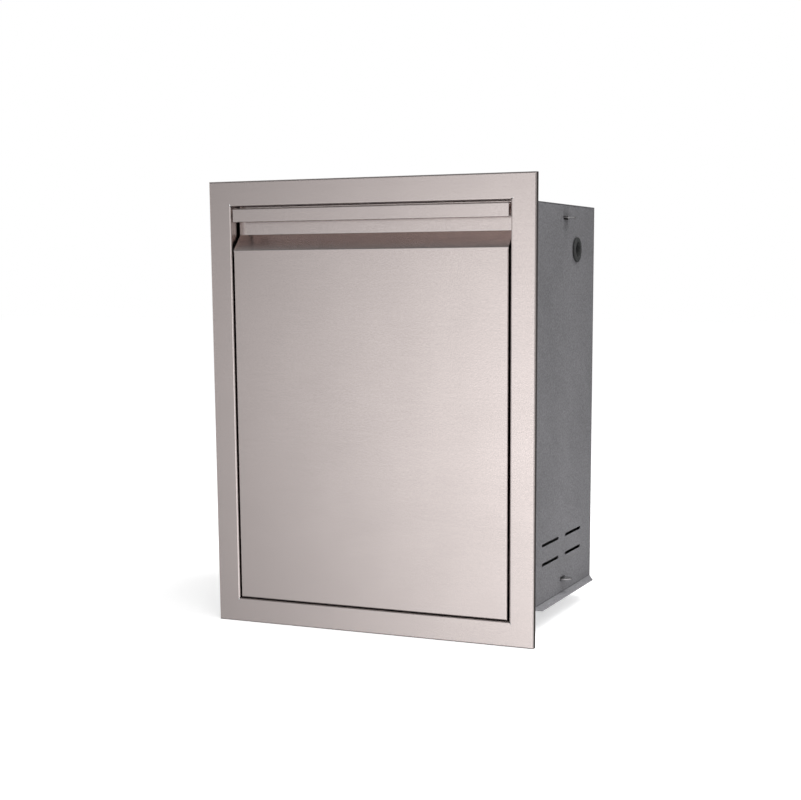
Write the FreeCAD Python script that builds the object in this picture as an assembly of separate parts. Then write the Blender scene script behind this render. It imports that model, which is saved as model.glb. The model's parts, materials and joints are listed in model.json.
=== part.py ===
# Built-in outdoor kitchen pull-out: a tall inset drawer front with a folded finger grip,
# a face frame, a vented grey cabinet box and a low carriage for a gas bottle on telescopic slides.
# Millimetres. +X is right, +Y is back, +Z is up. The origin is the middle of the cut-out's sill edge:
# x on the centre line, y on the wall's front face, z on the sill that the cabinet's floor rests on.

import FreeCAD, Part
import math
import os
from FreeCAD import Vector

# Face frame
OPEN_W = 446.7            # clear opening between the inner returns
OPEN_H = 599.1
RIM = 37.0                # outer edge of the frame to the clear opening
FRAME_T = 1.2
FRAME_BEND = 1.0          # inside radius of the frame's bends
RETURN_DEPTH = 9.0        # outer return, face to its rear edge
INNER_RETURN = 25.0       # inner return, face to its rear edge
DRIP_LIP = 3.4            # lip turned down behind the top return, behind the gap over the drawer front
DRIP_LIP_END_GAP = 2.5    # between the lip's ends and the side returns
RELIEF_W = 1.4            # slit left open at each inner corner
RELIEF_REACH = 3.2        # how far the slit runs out past the corner

# Cabinet box
BOX_T = 1.0
BOX_BEND = 0.8
CABINET_DEPTH = 385.0     # front of the face to the back of the box
BOX_FLANGE = 12.0         # inward flanges that carry the top and the back
FOOT_W = 16.4             # how far the floor sheet stands out past each side
FOOT_START = 95.0         # depth at which that foot begins, behind the face
FOOT_TAPER = 36.0         # length over which its rear corner is cut back
PANEL_SETBACK = 0.6       # side panels start this far behind the frame's bend

# Openings in the cabinet's sides
VENT_LENGTH = 80.0
VENT_HEIGHT = 5.0
VENT_PITCH = 112.0        # slot to slot along the depth
VENT_ROW_PITCH = 30.0
VENT_FIRST = 26.0         # depth of the first slot's front end
VENT_LOW_Z = 60.7         # height of the lower row
VENT_COLUMNS = 3
VENT_ROWS = 2
HOSE_DEPTH = 291.0        # hose hole's centre, behind the face
HOSE_DROP = 67.6          # hose hole's centre, below the box's top
HOSE_HOLE_R = 15.0
GROMMET_LIP_R = 19.0
GROMMET_LIP_T = 4.0
GROMMET_INNER_LIP_T = 2.5
GROMMET_BORE_R = 11.5
GROMMET_ROUND = 1.6

# Fixing ears through the cabinet's sides
EAR_DEPTH = 238.0
EAR_FROM_BOTTOM = 24.0    # ear's upper face, from the box's bottom
EAR_FROM_TOP = 19.5       # and from its top
EAR_W = 22.0
EAR_OUT = 16.0
EAR_T = 1.5
EAR_LEG = 14.0            # leg inside the box
EAR_HOLE_R = 2.6
EAR_SLOT_GAP = 0.6        # clear at each end of the ear
EAR_SLOT_RISE = 2.0       # clear above and below it
EAR_BEND = 0.5

# Drawer front
SKIN_T = 1.2
SKIN_BEND = 0.8
SIDE_GAP = 3.4
TOP_GAP = 3.0
BOTTOM_GAP = 2.0
RECESS_DEPTH = 20.7       # face to the front of the recess's wall
GRIP_H = 20.4             # height of the grip bar's face
RECESS_OPEN = 41.2        # between the grip bar and the panel
SLANT_RISE = 22.9
HEM_LEG = 9.0             # hem folded up behind the grip bar
HEM_GAP = 0.4
LINER_T = 1.0
LINER_FLANGE = 12.0
STIFFENER_W = 46.0
STIFFENER_FLANGE = 12.0
STIFFENER_T = 1.0
STIFFENER_X = 110.0       # centre lines either side of the middle
STIFFENER_END = 16.0      # clear of the front's bottom return and of the recess

# Telescopic slides
SLIDE_H = 45.0
SLIDE_W = 12.7
SLIDE_T = 1.0
SLIDE_Z = 125.0           # centre line above the sill
SLIDE_SETBACK = 2.0       # slide's front end behind the frame's inner return
SLIDE_END_GAP = 7.0       # slide's rear end to the back panel
BALL_R = 1.5
RACE_GAP = 0.2            # ball to race
WEB_GAP = 1.4             # outer web to middle web
SLIDE_BEND = 0.8          # centre-line radius where a web turns
LIP_OUTER = 25.0          # degrees above level at the outer race's lip
LIP_MIDDLE = 30.0         # the same at the middle member's free lip
LIP_INNER = 50.0          # how far the inner race wraps under its balls
RACE_SWING = 110.0        # where the outer race leaves its balls
RACE_TILT = 20.0          # degrees below level from outer balls to inner balls
BALL_COLUMN = 4.4         # outer balls' centre from the mounting face
CAGE_LENGTH = 150.0
CAGE_T = 0.5
CAGE_W = 4.2
CAGE_HOLE_GAP = 0.15
CAGE_SIDE_GAP = 0.3       # cage edge to the member beside it
CAGE_END_GAP = 8.0        # cage to the end of the shared stretch with the drawer out
CAGE_BALLS = 3
CAGE_BALL_END = 12.0      # first ball from the cage's end

# Rails between the cabinet's sides and the slides
RAIL_OFF = 6.0
RAIL_H = 56.0
RAIL_T = 1.2
RAIL_FLANGE = 9.0
RAIL_END = 4.0            # the rail passes the slide's rear end by this much

# Carriage
TRAY_T = 1.2
TRAY_BEND = 1.0
TRAY_BOTTOM = 8.0         # underside above the sill
TRAY_SIDE_H = 150.0
TRAY_FLANGE = 14.0
TRAY_HEM = 7.0
TRAY_BACK_H = 96.0
BASE_FLANGE = 16.0
TANK_HOLE_R = 106.5       # seats a 203 mm foot ring
TANK_COLLAR_H = 7.0
TANK_COLLAR_BEND = 3.0
DRAIN_R = 4.0
DRAIN_INSET = 34.0
BRACE_TOP = 470.0         # top of the gussets above the sill
BRACE_FOOT = 150.0        # length of a gusset along the carriage's side
BRACE_LAP = 28.0          # how far it laps down inside the carriage's side
BRACE_RIVET_DROP = 7.0    # rivets below the carriage side's top edge
BRACE_FLANGE = 15.0
BRACE_TIP = 22.0          # width left at a gusset's top
BRACE_T = 1.2

# Fasteners and bumpers
RIVET_HEAD_R = 3.2
RIVET_HEAD_H = 1.0
RIVET_SHANK_R = 1.6
SCREW_HEAD_R = 4.2
SCREW_HEAD_H = 2.2
SCREW_SHANK_R = 2.0
FLAT_HEAD_R = 3.6
FLAT_HEAD_H = 0.9
SHANK_FIT = 0.05          # shank to the wall of its hole
BUMPER_R = 8.0
BUMPER_STEM_R = 3.0
BUMPER_X = 120.0
BUMPER_Z = 60.0
BUMPER_LENGTH = 7.8
BUMPER_GAP = 0.3
BUMPER_ROUND = 2.0

# Places worked out from the sizes above
FACE_Y = -RETURN_DEPTH
FLOOR_TOP = BOX_T
OPEN_BOTTOM = FLOOR_TOP + FRAME_T
OPEN_TOP = OPEN_BOTTOM + OPEN_H
TOP_SHEET_Z = OPEN_TOP + FRAME_T
BOX_TOP = TOP_SHEET_Z + BOX_T
FRAME_BOTTOM = OPEN_BOTTOM - RIM
FRAME_TOP = OPEN_TOP + RIM
FRAME_HALF_W = OPEN_W / 2 + RIM
WALL_IN = OPEN_W / 2 + FRAME_T
WALL_OUT = WALL_IN + BOX_T
BACK_Y = FACE_Y + CABINET_DEPTH
BACK_IN = BACK_Y - BOX_T
BOX_FRONT = FACE_Y + FRAME_T + FRAME_BEND + PANEL_SETBACK
RETURN_REAR = FACE_Y + INNER_RETURN
FRONT_HALF_W = OPEN_W / 2 - SIDE_GAP
FRONT_BOTTOM = OPEN_BOTTOM + BOTTOM_GAP
FRONT_TOP = OPEN_TOP - TOP_GAP
GRIP_LOW = FRONT_TOP - GRIP_H
SLANT_LOW = GRIP_LOW - RECESS_OPEN
SLANT_HIGH = SLANT_LOW + SLANT_RISE
SKIN_REAR = FACE_Y + RECESS_DEPTH + SKIN_T
LINER_REAR = SKIN_REAR + LINER_T
SLIDE_FRONT = RETURN_REAR + SLIDE_SETBACK
SLIDE_REAR = BACK_IN - SLIDE_END_GAP
TRAVEL = SLIDE_REAR - SLIDE_FRONT
SLIDE_FACE = WALL_IN - RAIL_OFF
TRAY_HALF_W = SLIDE_FACE - SLIDE_W
TRAY_REAR = BACK_IN - BUMPER_LENGTH - BUMPER_GAP
TRAY_TOP = TRAY_BOTTOM + TRAY_SIDE_H
BASE_Z = TRAY_BOTTOM + TRAY_T
BASE_TOP = BASE_Z + TRAY_T
RACE_R = BALL_R + RACE_GAP + SLIDE_T / 2
OUTER_BALL_V = SLIDE_H / 2 - RACE_R - SLIDE_T / 2
INNER_BALL_U = BALL_COLUMN + 2 * RACE_R * math.cos(math.radians(RACE_TILT))
INNER_BALL_V = OUTER_BALL_V - 2 * RACE_R * math.sin(math.radians(RACE_TILT))

X_AXIS = Vector(1, 0, 0)
Y_AXIS = Vector(0, 1, 0)
Z_AXIS = Vector(0, 0, 1)


# Sheet-metal sections

def in_yz(a, b):
    return Vector(0, a, b)


def in_xz(a, b):
    return Vector(a, 0, b)


def in_xy(a, b):
    return Vector(a, b, 0)


def face_from_edges(edges):
    return Part.Face(Part.Wire(Part.__sortEdges__(edges)))


def polygon(points, plane):
    corners = [plane(a, b) for a, b in points]
    return Part.Face(Part.makePolygon(corners + corners[:1]))


def extruded(face, direction, start, end):
    solid = face.extrude(direction * (end - start))
    solid.translate(direction * start)
    return solid


def folded(points, thickness, radii, side, plane):
    """Section of one folded sheet. points follow one surface, the sheet lies to the left of the
    travel (side 1) or to the right (side -1), and radii are the inside radii at the corners."""
    if not isinstance(radii, (list, tuple)):
        radii = [radii] * (len(points) - 2)
    runs = [(q[0] - p[0], q[1] - p[1]) for p, q in zip(points, points[1:])]
    runs = [(a / math.hypot(a, b), b / math.hypot(a, b)) for a, b in runs]
    normals = [(-b, a) for a, b in runs]

    def surface(offset):
        stops = [shifted(points[0], normals[0], offset)]
        edges = []
        for i, inside in enumerate(radii):
            before, after = runs[i], runs[i + 1]
            turn = math.atan2(before[0] * after[1] - before[1] * after[0],
                              before[0] * after[0] + before[1] * after[1])
            way = math.copysign(1.0, turn)
            radius = inside + (thickness if way * side > 0 else 0.0)
            reach = radius * math.tan(abs(turn) / 2)
            corner = points[i + 1]
            enter = shifted(corner, before, -reach)
            leave = shifted(corner, after, reach)
            centre = shifted(enter, normals[i], way * radius)
            gap = math.hypot(corner[0] - centre[0], corner[1] - centre[1])
            towards = ((corner[0] - centre[0]) / gap, (corner[1] - centre[1]) / gap)
            middle = shifted(centre, towards, radius - way * offset)
            first = shifted(enter, normals[i], offset)
            last = shifted(leave, normals[i + 1], offset)
            edges += line_if_long(stops[-1], first, plane)
            edges.append(Part.Arc(plane(*first), plane(*middle), plane(*last)).toShape())
            stops.append(last)
        end = shifted(points[-1], normals[-1], offset)
        edges += line_if_long(stops[-1], end, plane)
        return stops[0], end, edges

    start_a, end_a, edges_a = surface(0.0)
    start_b, end_b, edges_b = surface(side * thickness)
    caps = line_if_long(start_a, start_b, plane) + line_if_long(end_a, end_b, plane)
    return face_from_edges(edges_a + edges_b + caps)


def shifted(point, direction, distance):
    return (point[0] + direction[0] * distance, point[1] + direction[1] * distance)


def line_if_long(p, q, plane):
    if math.hypot(q[0] - p[0], q[1] - p[1]) < 1e-6:
        return []
    return [Part.LineSegment(plane(*p), plane(*q)).toShape()]


def drawn_strip(start, heading, moves, thickness, plane):
    """Section of a rolled strip along a centre line: each move is (length, 0) for a straight
    or (radius, turn) for a bend, with the turn in degrees and left positive."""
    half = thickness / 2
    point, angle = start, math.radians(heading)
    left, right, sides = [], [], []

    def side_points(at, direction):
        normal = (-math.sin(direction), math.cos(direction))
        return shifted(at, normal, half), shifted(at, normal, -half)

    first = side_points(point, angle)
    previous = first
    for size, turn in moves:
        if turn == 0:
            point = (point[0] + size * math.cos(angle), point[1] + size * math.sin(angle))
            current = side_points(point, angle)
            left += line_if_long(previous[0], current[0], plane)
            right += line_if_long(previous[1], current[1], plane)
        else:
            way = math.copysign(1.0, turn)
            centre = shifted(point, (-math.sin(angle), math.cos(angle)), way * size)
            swing = math.radians(turn)
            spoke = (point[0] - centre[0], point[1] - centre[1])
            point = turned(centre, spoke, swing)
            middle = turned(centre, spoke, swing / 2)
            half_way = side_points(middle, angle + swing / 2)
            angle += swing
            current = side_points(point, angle)
            for store, k in ((left, 0), (right, 1)):
                arc = Part.Arc(plane(*previous[k]), plane(*half_way[k]), plane(*current[k]))
                store.append(arc.toShape())
        previous = current
    sides = line_if_long(first[0], first[1], plane) + line_if_long(previous[0], previous[1], plane)
    return face_from_edges(left + right + sides)


def turned(centre, spoke, swing):
    c, s = math.cos(swing), math.sin(swing)
    return (centre[0] + spoke[0] * c - spoke[1] * s, centre[1] + spoke[0] * s + spoke[1] * c)


# Simple solids

def block(x0, x1, y0, y1, z0, z1):
    return Part.makeBox(x1 - x0, y1 - y0, z1 - z0, Vector(x0, y0, z0))


def rod(centre, direction, radius, length):
    return Part.makeCylinder(radius, length, centre, direction)


def turned_solid(profile, centre, direction):
    """Revolve (radius, height) points about the height axis, then set it along direction."""
    points = [Vector(r, 0, h) for r, h in profile]
    face = Part.Face(Part.makePolygon(points + points[:1]))
    solid = face.revolve(Vector(0, 0, 0), Z_AXIS, 360)
    solid.Placement = FreeCAD.Placement(centre, FreeCAD.Rotation(Z_AXIS, direction))
    return solid


def domed_head(centre, direction, head_r, head_h, shank_r, shank_length):
    """A fastener whose head stands out along direction from centre and whose shank runs back."""
    dome = [(head_r, 0.0), (head_r * 0.72, head_h * 0.8), (0.0, head_h)]
    profile = [(0.0, -shank_length), (shank_r, -shank_length), (shank_r, 0.0)] + dome
    return turned_solid(profile, centre, direction)


def flat_head(centre, direction, head_r, head_h, shank_r, shank_length):
    profile = [(0.0, -shank_length), (shank_r, -shank_length), (shank_r, 0.0), (head_r, 0.0),
               (head_r * 0.85, head_h), (0.0, head_h)]
    return turned_solid(profile, centre, direction)


def slot_cutter(y0, y1, z, height, x0, x1):
    radius = height / 2
    body = block(x0, x1, y0 + radius, y1 - radius, z - radius, z + radius)
    for y in (y0 + radius, y1 - radius):
        body = body.fuse(rod(Vector(x0, y, z), X_AXIS, radius, x1 - x0))
    return body


def hole(shape, centre, direction, radius, depth):
    start = centre - direction * (depth / 2)
    return shape.cut(rod(start, direction, radius, depth))


def mirrored(shape):
    return shape.mirror(Vector(0, 0, 0), X_AXIS)


def joined(shapes):
    body = shapes[0].fuse(shapes[1:])
    return body.removeSplitter()


# Places shared by holes and fasteners

def slide_screw_ys():
    inset = 30.0
    return [SLIDE_FRONT + inset, (SLIDE_FRONT + SLIDE_REAR) / 2, SLIDE_REAR - inset]


def front_screw_points():
    """Screws that hold the carriage's front flanges and the gussets to the drawer front."""
    x_tray = TRAY_HALF_W - TRAY_T - TRAY_FLANGE * 0.55
    x_brace = TRAY_HALF_W - TRAY_T - BRACE_T - BRACE_FLANGE * 0.55
    low = [TRAY_BOTTOM + TRAY_SIDE_H * share for share in (0.16, 0.56)]
    high = [TRAY_TOP + (BRACE_TOP - TRAY_TOP) * share for share in (0.12, 0.5, 0.88)]
    points = []
    for sign in (-1, 1):
        points += [(sign * x_tray, z, TRAY_T) for z in low]
        points += [(sign * x_brace, z, BRACE_T) for z in high]
    return points


def brace_rivet_points():
    span = BRACE_FOOT - TRAY_FLANGE
    z = TRAY_TOP - BRACE_RIVET_DROP
    return [(LINER_REAR + TRAY_FLANGE + span * share, z) for share in (0.2, 0.75)]


def back_rivet_points():
    x_side = WALL_IN - BOX_FLANGE / 2
    heights = [BOX_TOP * share for share in (0.12, 0.37, 0.63, 0.88)]
    return [(sign * x_side, z) for sign in (-1, 1) for z in heights]


def top_rivet_points():
    x_side = WALL_IN - BOX_FLANGE / 2
    span = BACK_IN - RETURN_REAR
    return [(sign * x_side, RETURN_REAR + span * share) for sign in (-1, 1) for share in (0.15, 0.5, 0.85)]


def tray_corner_rivets():
    heights = [BASE_TOP + TRAY_BACK_H * share for share in (0.3, 0.8)]
    x = TRAY_HALF_W - TRAY_T - TRAY_FLANGE * 0.5
    return [(sign * x, z) for sign in (-1, 1) for z in heights]


# Cabinet

def face_frame():
    """One sheet ring: outer return, flat face, inner return, mitred and welded at the corners. The
    top's inner return ends in a lip turned down, which keeps rain off what the drawer holds."""
    plain = [(0, RETURN_DEPTH), (0, 0), (RIM, 0), (RIM, INNER_RETURN)]
    lipped = plain[:3] + [(RIM, INNER_RETURN - FRAME_T), (RIM + DRIP_LIP, INNER_RETURN - FRAME_T)]
    strips = []
    width, height = 2 * FRAME_HALF_W, FRAME_TOP - FRAME_BOTTOM
    for turns, length, across in ((0, width, height), (1, height, width), (2, width, height), (3, height, width)):
        at_top = turns == 2
        profile = folded(lipped if at_top else plain, FRAME_T, FRAME_BEND, 1, lambda a, b: Vector(0, b, a))
        strip = extruded(profile, X_AXIS, -length / 2, length / 2)
        ends = [(length / 2 - RIM, RIM), (-length / 2 + RIM, RIM)]
        if at_top:
            lip_end = OPEN_W / 2 - DRIP_LIP_END_GAP
            ends[1:1] = [(lip_end, RIM), (lip_end, RIM + DRIP_LIP), (-lip_end, RIM + DRIP_LIP), (-lip_end, RIM)]
        mitre = polygon([(-length / 2, 0), (length / 2, 0)] + ends, in_xz)
        strip = strip.common(extruded(mitre, Y_AXIS, -1.0, INNER_RETURN + 1.0))
        strip.translate(Vector(0, 0, -across / 2))
        strip.rotate(Vector(0, 0, 0), Y_AXIS, 90 * turns)
        strips.append(strip)
    ring = joined(strips)
    ring.translate(Vector(0, FACE_Y, (FRAME_BOTTOM + FRAME_TOP) / 2))
    for x_sign in (-1, 1):
        for z_sign, z in ((-1, OPEN_BOTTOM), (1, OPEN_TOP)):
            slit = Part.makeBox(2 * RELIEF_REACH * math.sqrt(2), INNER_RETURN + 2.0, RELIEF_W)
            slit.translate(Vector(-RELIEF_REACH * math.sqrt(2), FACE_Y - 1.0, -RELIEF_W / 2))
            slit.rotate(Vector(0, 0, 0), Y_AXIS, -45 * x_sign * z_sign)
            slit.translate(Vector(x_sign * OPEN_W / 2, 0, z))
            ring = ring.cut(slit)
    return ring


def side_wall():
    """Right side of the box, with its vents, hose hole, ear slots and three inward flanges."""
    bend_out = BOX_BEND + BOX_T
    flange_front = RETURN_REAR + PANEL_SETBACK
    flange_top = TOP_SHEET_Z
    front_edge = [(BOX_FRONT, FLOOR_TOP), (flange_front, FLOOR_TOP), (flange_front, FLOOR_TOP + bend_out)]
    back_edge = [(BACK_IN - bend_out, FLOOR_TOP + bend_out), (BACK_IN - bend_out, flange_top - bend_out)]
    upper_edge = [(flange_front, flange_top - bend_out), (flange_front, flange_top), (BOX_FRONT, flange_top)]
    wall = extruded(polygon(front_edge + back_edge + upper_edge, in_yz), X_AXIS, WALL_IN, WALL_OUT)
    flanges = []
    for edge, side in ((flange_top, 1), (FLOOR_TOP, -1)):
        section = folded([(WALL_OUT, edge - 2 * side * bend_out), (WALL_OUT, edge), (WALL_OUT - BOX_FLANGE, edge)],
                         BOX_T, BOX_BEND, side, in_xz)
        flanges.append(extruded(section, Y_AXIS, flange_front, BACK_IN - bend_out))
    rear = folded([(WALL_OUT, BACK_IN - 2 * bend_out), (WALL_OUT, BACK_IN),
                   (WALL_OUT - BOX_FLANGE, BACK_IN)], BOX_T, BOX_BEND, 1, in_xy)
    rear = extruded(rear, Z_AXIS, FLOOR_TOP + bend_out, flange_top - bend_out)
    wall = joined([wall, rear] + flanges)
    for y0, z in vent_places():
        cutter = slot_cutter(y0, y0 + VENT_LENGTH, z, VENT_HEIGHT, WALL_IN - 1, WALL_OUT + 1)
        wall = wall.cut(cutter)
    wall = hole(wall, hose_centre(), X_AXIS, HOSE_HOLE_R, 8 * BOX_T)
    for z, up in ear_places():
        y, half = FACE_Y + EAR_DEPTH, EAR_W / 2 + EAR_SLOT_GAP
        low, high = sorted((z, z - up * EAR_T))
        wall = wall.cut(block(WALL_IN - 1, WALL_OUT + 1, y - half, y + half,
                              low - EAR_SLOT_RISE, high + EAR_SLOT_RISE))
    for x, z in back_rivet_points():
        if x > 0:
            wall = hole(wall, Vector(x, BACK_IN, z), Y_AXIS, RIVET_SHANK_R + SHANK_FIT, 8 * BOX_T)
    for x, y in top_rivet_points():
        if x > 0:
            wall = hole(wall, Vector(x, y, TOP_SHEET_Z), Z_AXIS, RIVET_SHANK_R + SHANK_FIT, 8 * BOX_T)
    return wall


def foot_taper():
    """The wedge that cuts back the rear corner of the floor sheet's foot."""
    outer = WALL_OUT + FOOT_W + 1.0
    inner = WALL_OUT
    slope = FOOT_TAPER / FOOT_W
    wedge = polygon([(inner, BACK_Y), (outer, BACK_Y - slope * (outer - inner)), (outer, BACK_Y + 1),
                     (inner, BACK_Y + 1)], in_xy)
    return extruded(wedge, Z_AXIS, -BOX_T, FLOOR_TOP + BOX_T)


def vent_places():
    columns = [FACE_Y + VENT_FIRST + VENT_PITCH * i for i in range(VENT_COLUMNS)]
    rows = [VENT_LOW_Z + VENT_ROW_PITCH * j for j in range(VENT_ROWS)]
    return [(y, z) for z in rows for y in columns]


def hose_centre():
    return Vector(WALL_IN + BOX_T / 2, FACE_Y + HOSE_DEPTH, BOX_TOP - HOSE_DROP)


def ear_places():
    """Upper face of each ear, and the way that its inner leg turns from it."""
    return [(EAR_FROM_BOTTOM, 1), (BOX_TOP - EAR_FROM_TOP, 1)]


def cabinet_floor():
    foot_y = FACE_Y + FOOT_START
    foot_x = WALL_OUT + FOOT_W
    outline = [(-WALL_OUT, BOX_FRONT), (WALL_OUT, BOX_FRONT), (WALL_OUT, foot_y), (foot_x, foot_y),
               (foot_x, BACK_Y), (-foot_x, BACK_Y), (-foot_x, foot_y), (-WALL_OUT, foot_y)]
    sheet = extruded(polygon(outline, in_xy), Z_AXIS, 0.0, FLOOR_TOP)
    sheet = sheet.cut(foot_taper())
    return sheet.cut(mirrored(foot_taper()))


def cabinet_top():
    sheet = block(-WALL_OUT, WALL_OUT, BOX_FRONT, BACK_Y, TOP_SHEET_Z, BOX_TOP)
    for x, y in top_rivet_points():
        sheet = hole(sheet, Vector(x, y, TOP_SHEET_Z), Z_AXIS, RIVET_SHANK_R + SHANK_FIT, 8 * BOX_T)
    return sheet


def cabinet_back():
    sheet = block(-WALL_OUT, WALL_OUT, BACK_IN, BACK_Y, FLOOR_TOP, TOP_SHEET_Z)
    for x, z in back_rivet_points():
        sheet = hole(sheet, Vector(x, BACK_IN, z), Y_AXIS, RIVET_SHANK_R + SHANK_FIT, 8 * BOX_T)
    for x in (-BUMPER_X, BUMPER_X):
        sheet = hole(sheet, Vector(x, BACK_IN, BUMPER_Z), Y_AXIS, BUMPER_STEM_R + SHANK_FIT, 8 * BOX_T)
    return sheet


def cabinet_rivets():
    rivets = [domed_head(Vector(x, BACK_Y, z), Y_AXIS, RIVET_HEAD_R, RIVET_HEAD_H, RIVET_SHANK_R, 2 * BOX_T + 1)
              for x, z in back_rivet_points()]
    rivets += [domed_head(Vector(x, y, BOX_TOP), Z_AXIS, RIVET_HEAD_R, RIVET_HEAD_H, RIVET_SHANK_R, 2 * BOX_T + 1)
               for x, y in top_rivet_points()]
    return Part.makeCompound(rivets)


def mounting_ears():
    """Angle clips: a leg on the inside of the wall and a half-round ear out through its slot."""
    y = FACE_Y + EAR_DEPTH
    tip = WALL_OUT + EAR_OUT
    ears = []
    for z, up in ear_places():
        section = folded([(tip, z), (WALL_IN, z), (WALL_IN, z + up * EAR_LEG)], EAR_T, EAR_BEND, 1, in_xz)
        clip = extruded(section, Y_AXIS, y - EAR_W / 2, y + EAR_W / 2)
        keep = block(0, WALL_OUT, y - EAR_W / 2, y + EAR_W / 2, z - 2 * EAR_LEG, z + 2 * EAR_LEG)
        half_w = EAR_W / 2
        arch = Part.makeCylinder(half_w, 4 * EAR_LEG, Vector(0, 0, 0), Z_AXIS)
        stretch = FreeCAD.Matrix()
        stretch.scale(EAR_OUT / half_w, 1.0, 1.0)
        arch = arch.transformGeometry(stretch)
        arch.translate(Vector(WALL_OUT, y, z - 2 * EAR_LEG))
        clip = clip.common(keep.fuse(arch))
        clip = hole(clip, Vector(WALL_OUT + EAR_OUT * 0.45, y, z), Z_AXIS, EAR_HOLE_R, 4 * EAR_T)
        ears += [clip, mirrored(clip)]
    return Part.makeCompound(ears)


def hose_grommet():
    """Rubber grommet snapped into the hose hole: lips inside and outside, groove on the sheet."""
    half = BOX_T / 2
    outer_end = half + GROMMET_LIP_T
    inner_end = -half - GROMMET_INNER_LIP_T
    soft = GROMMET_ROUND
    profile = [(GROMMET_BORE_R, inner_end + soft * 0.5), (GROMMET_BORE_R + soft * 0.5, inner_end),
               (GROMMET_LIP_R - soft, inner_end), (GROMMET_LIP_R, inner_end + soft * 0.6), (GROMMET_LIP_R, -half),
               (HOSE_HOLE_R - SHANK_FIT, -half), (HOSE_HOLE_R - SHANK_FIT, half), (GROMMET_LIP_R, half),
               (GROMMET_LIP_R, outer_end - soft), (GROMMET_LIP_R - soft * 0.3, outer_end - soft * 0.3),
               (GROMMET_LIP_R - soft, outer_end), (GROMMET_BORE_R + soft, outer_end),
               (GROMMET_BORE_R, outer_end - soft)]
    return turned_solid(profile, hose_centre(), X_AXIS)


def rear_bumpers():
    """Rubber buffers in the back panel that the carriage stops against."""
    soft = BUMPER_ROUND
    length = BUMPER_LENGTH
    profile = [(0, -2 * BOX_T), (BUMPER_STEM_R, -2 * BOX_T), (BUMPER_STEM_R, 0), (BUMPER_R, 0),
               (BUMPER_R, length - soft), (BUMPER_R - soft * 0.3, length - soft * 0.3),
               (BUMPER_R - soft, length), (0, length)]
    return Part.makeCompound([turned_solid(profile, Vector(x, BACK_IN, BUMPER_Z), -Y_AXIS)
                              for x in (-BUMPER_X, BUMPER_X)])


def slide_rail():
    """Hat-section rail on the cabinet's side that spaces the slide in past the frame."""
    face = WALL_IN - RAIL_OFF
    half = RAIL_H / 2
    crown = half - RAIL_FLANGE
    section = hat_section(WALL_IN, face, SLIDE_Z, crown, half)
    rail = extruded(section, Y_AXIS, SLIDE_FRONT, SLIDE_REAR + RAIL_END)
    for y in slide_screw_ys():
        rail = hole(rail, Vector(face, y, SLIDE_Z), X_AXIS, SCREW_SHANK_R + SHANK_FIT, 4 * RAIL_T)
    return rail


def hat_section(base, crest, middle, crown, half):
    """A channel of sheet whose crest lies at x = crest and whose flanges lie on x = base."""
    outer = [(base - RAIL_T, middle + half), (base - RAIL_T, middle + crown), (crest, middle + crown),
             (crest, middle - crown), (base - RAIL_T, middle - crown), (base - RAIL_T, middle - half)]
    return folded(outer, RAIL_T, BOX_BEND, 1, in_xz)


# Telescopic slides, drawn in (u, v): u from the mounting face to the drawer, v above the centre line

def slide_plane(u, v):
    return Vector(SLIDE_FACE - u, 0, SLIDE_Z + v)


def mirrored_moves(half_moves, web):
    """Moves for a section that is the same above and below its centre line."""
    lower = [(size, turn) for size, turn in reversed(half_moves)]
    return half_moves + [(web, 0)] + lower


def travelled(start, heading, moves):
    point, angle = start, math.radians(heading)
    for size, turn in moves:
        if turn == 0:
            point = (point[0] + size * math.cos(angle), point[1] + size * math.sin(angle))
        else:
            way = math.copysign(1.0, turn)
            centre = shifted(point, (-math.sin(angle), math.cos(angle)), way * size)
            spoke = (point[0] - centre[0], point[1] - centre[1])
            point = turned(centre, spoke, math.radians(turn))
            angle += math.radians(turn)
    return point


def on_race(centre_u, centre_v, degrees):
    angle = math.radians(degrees)
    return (centre_u + RACE_R * math.cos(angle), centre_v + RACE_R * math.sin(angle))


def slide_member(start, heading, half_moves, y0, y1):
    web = 2 * travelled(start, heading, half_moves)[1]
    section = drawn_strip(start, heading, mirrored_moves(half_moves, web), SLIDE_T, slide_plane)
    return extruded(section, Y_AXIS, y0, y1)


def slide_outer():
    start = on_race(BALL_COLUMN, OUTER_BALL_V, LIP_OUTER)
    slope = RACE_SWING + 90
    bend = 270 - slope
    wrap = (RACE_R, RACE_SWING - LIP_OUTER)
    u_after = on_race(BALL_COLUMN, OUTER_BALL_V, RACE_SWING)[0]
    bend_u = SLIDE_BEND * (1 + math.sin(math.radians(slope)))
    run = (u_after - bend_u - SLIDE_T / 2) / -math.cos(math.radians(slope))
    member = slide_member(start, LIP_OUTER + 90, [wrap, (run, 0), (SLIDE_BEND, bend)], SLIDE_FRONT, SLIDE_REAR)
    for y in slide_screw_ys():
        member = hole(member, Vector(SLIDE_FACE, y, SLIDE_Z), X_AXIS, SCREW_SHANK_R + SHANK_FIT, 4 * SLIDE_T)
    return member


def slide_middle():
    start = on_race(INNER_BALL_U, INNER_BALL_V, LIP_MIDDLE)
    over = (RACE_R, 180 - RACE_TILT - LIP_MIDDLE)
    under = (RACE_R, RACE_TILT - 90)
    web_u = SLIDE_T + WEB_GAP + SLIDE_T / 2
    run = BALL_COLUMN - web_u - SLIDE_BEND
    return slide_member(start, LIP_MIDDLE + 90, [over, under, (run, 0), (SLIDE_BEND, 90)], SLIDE_FRONT, SLIDE_REAR)


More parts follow.
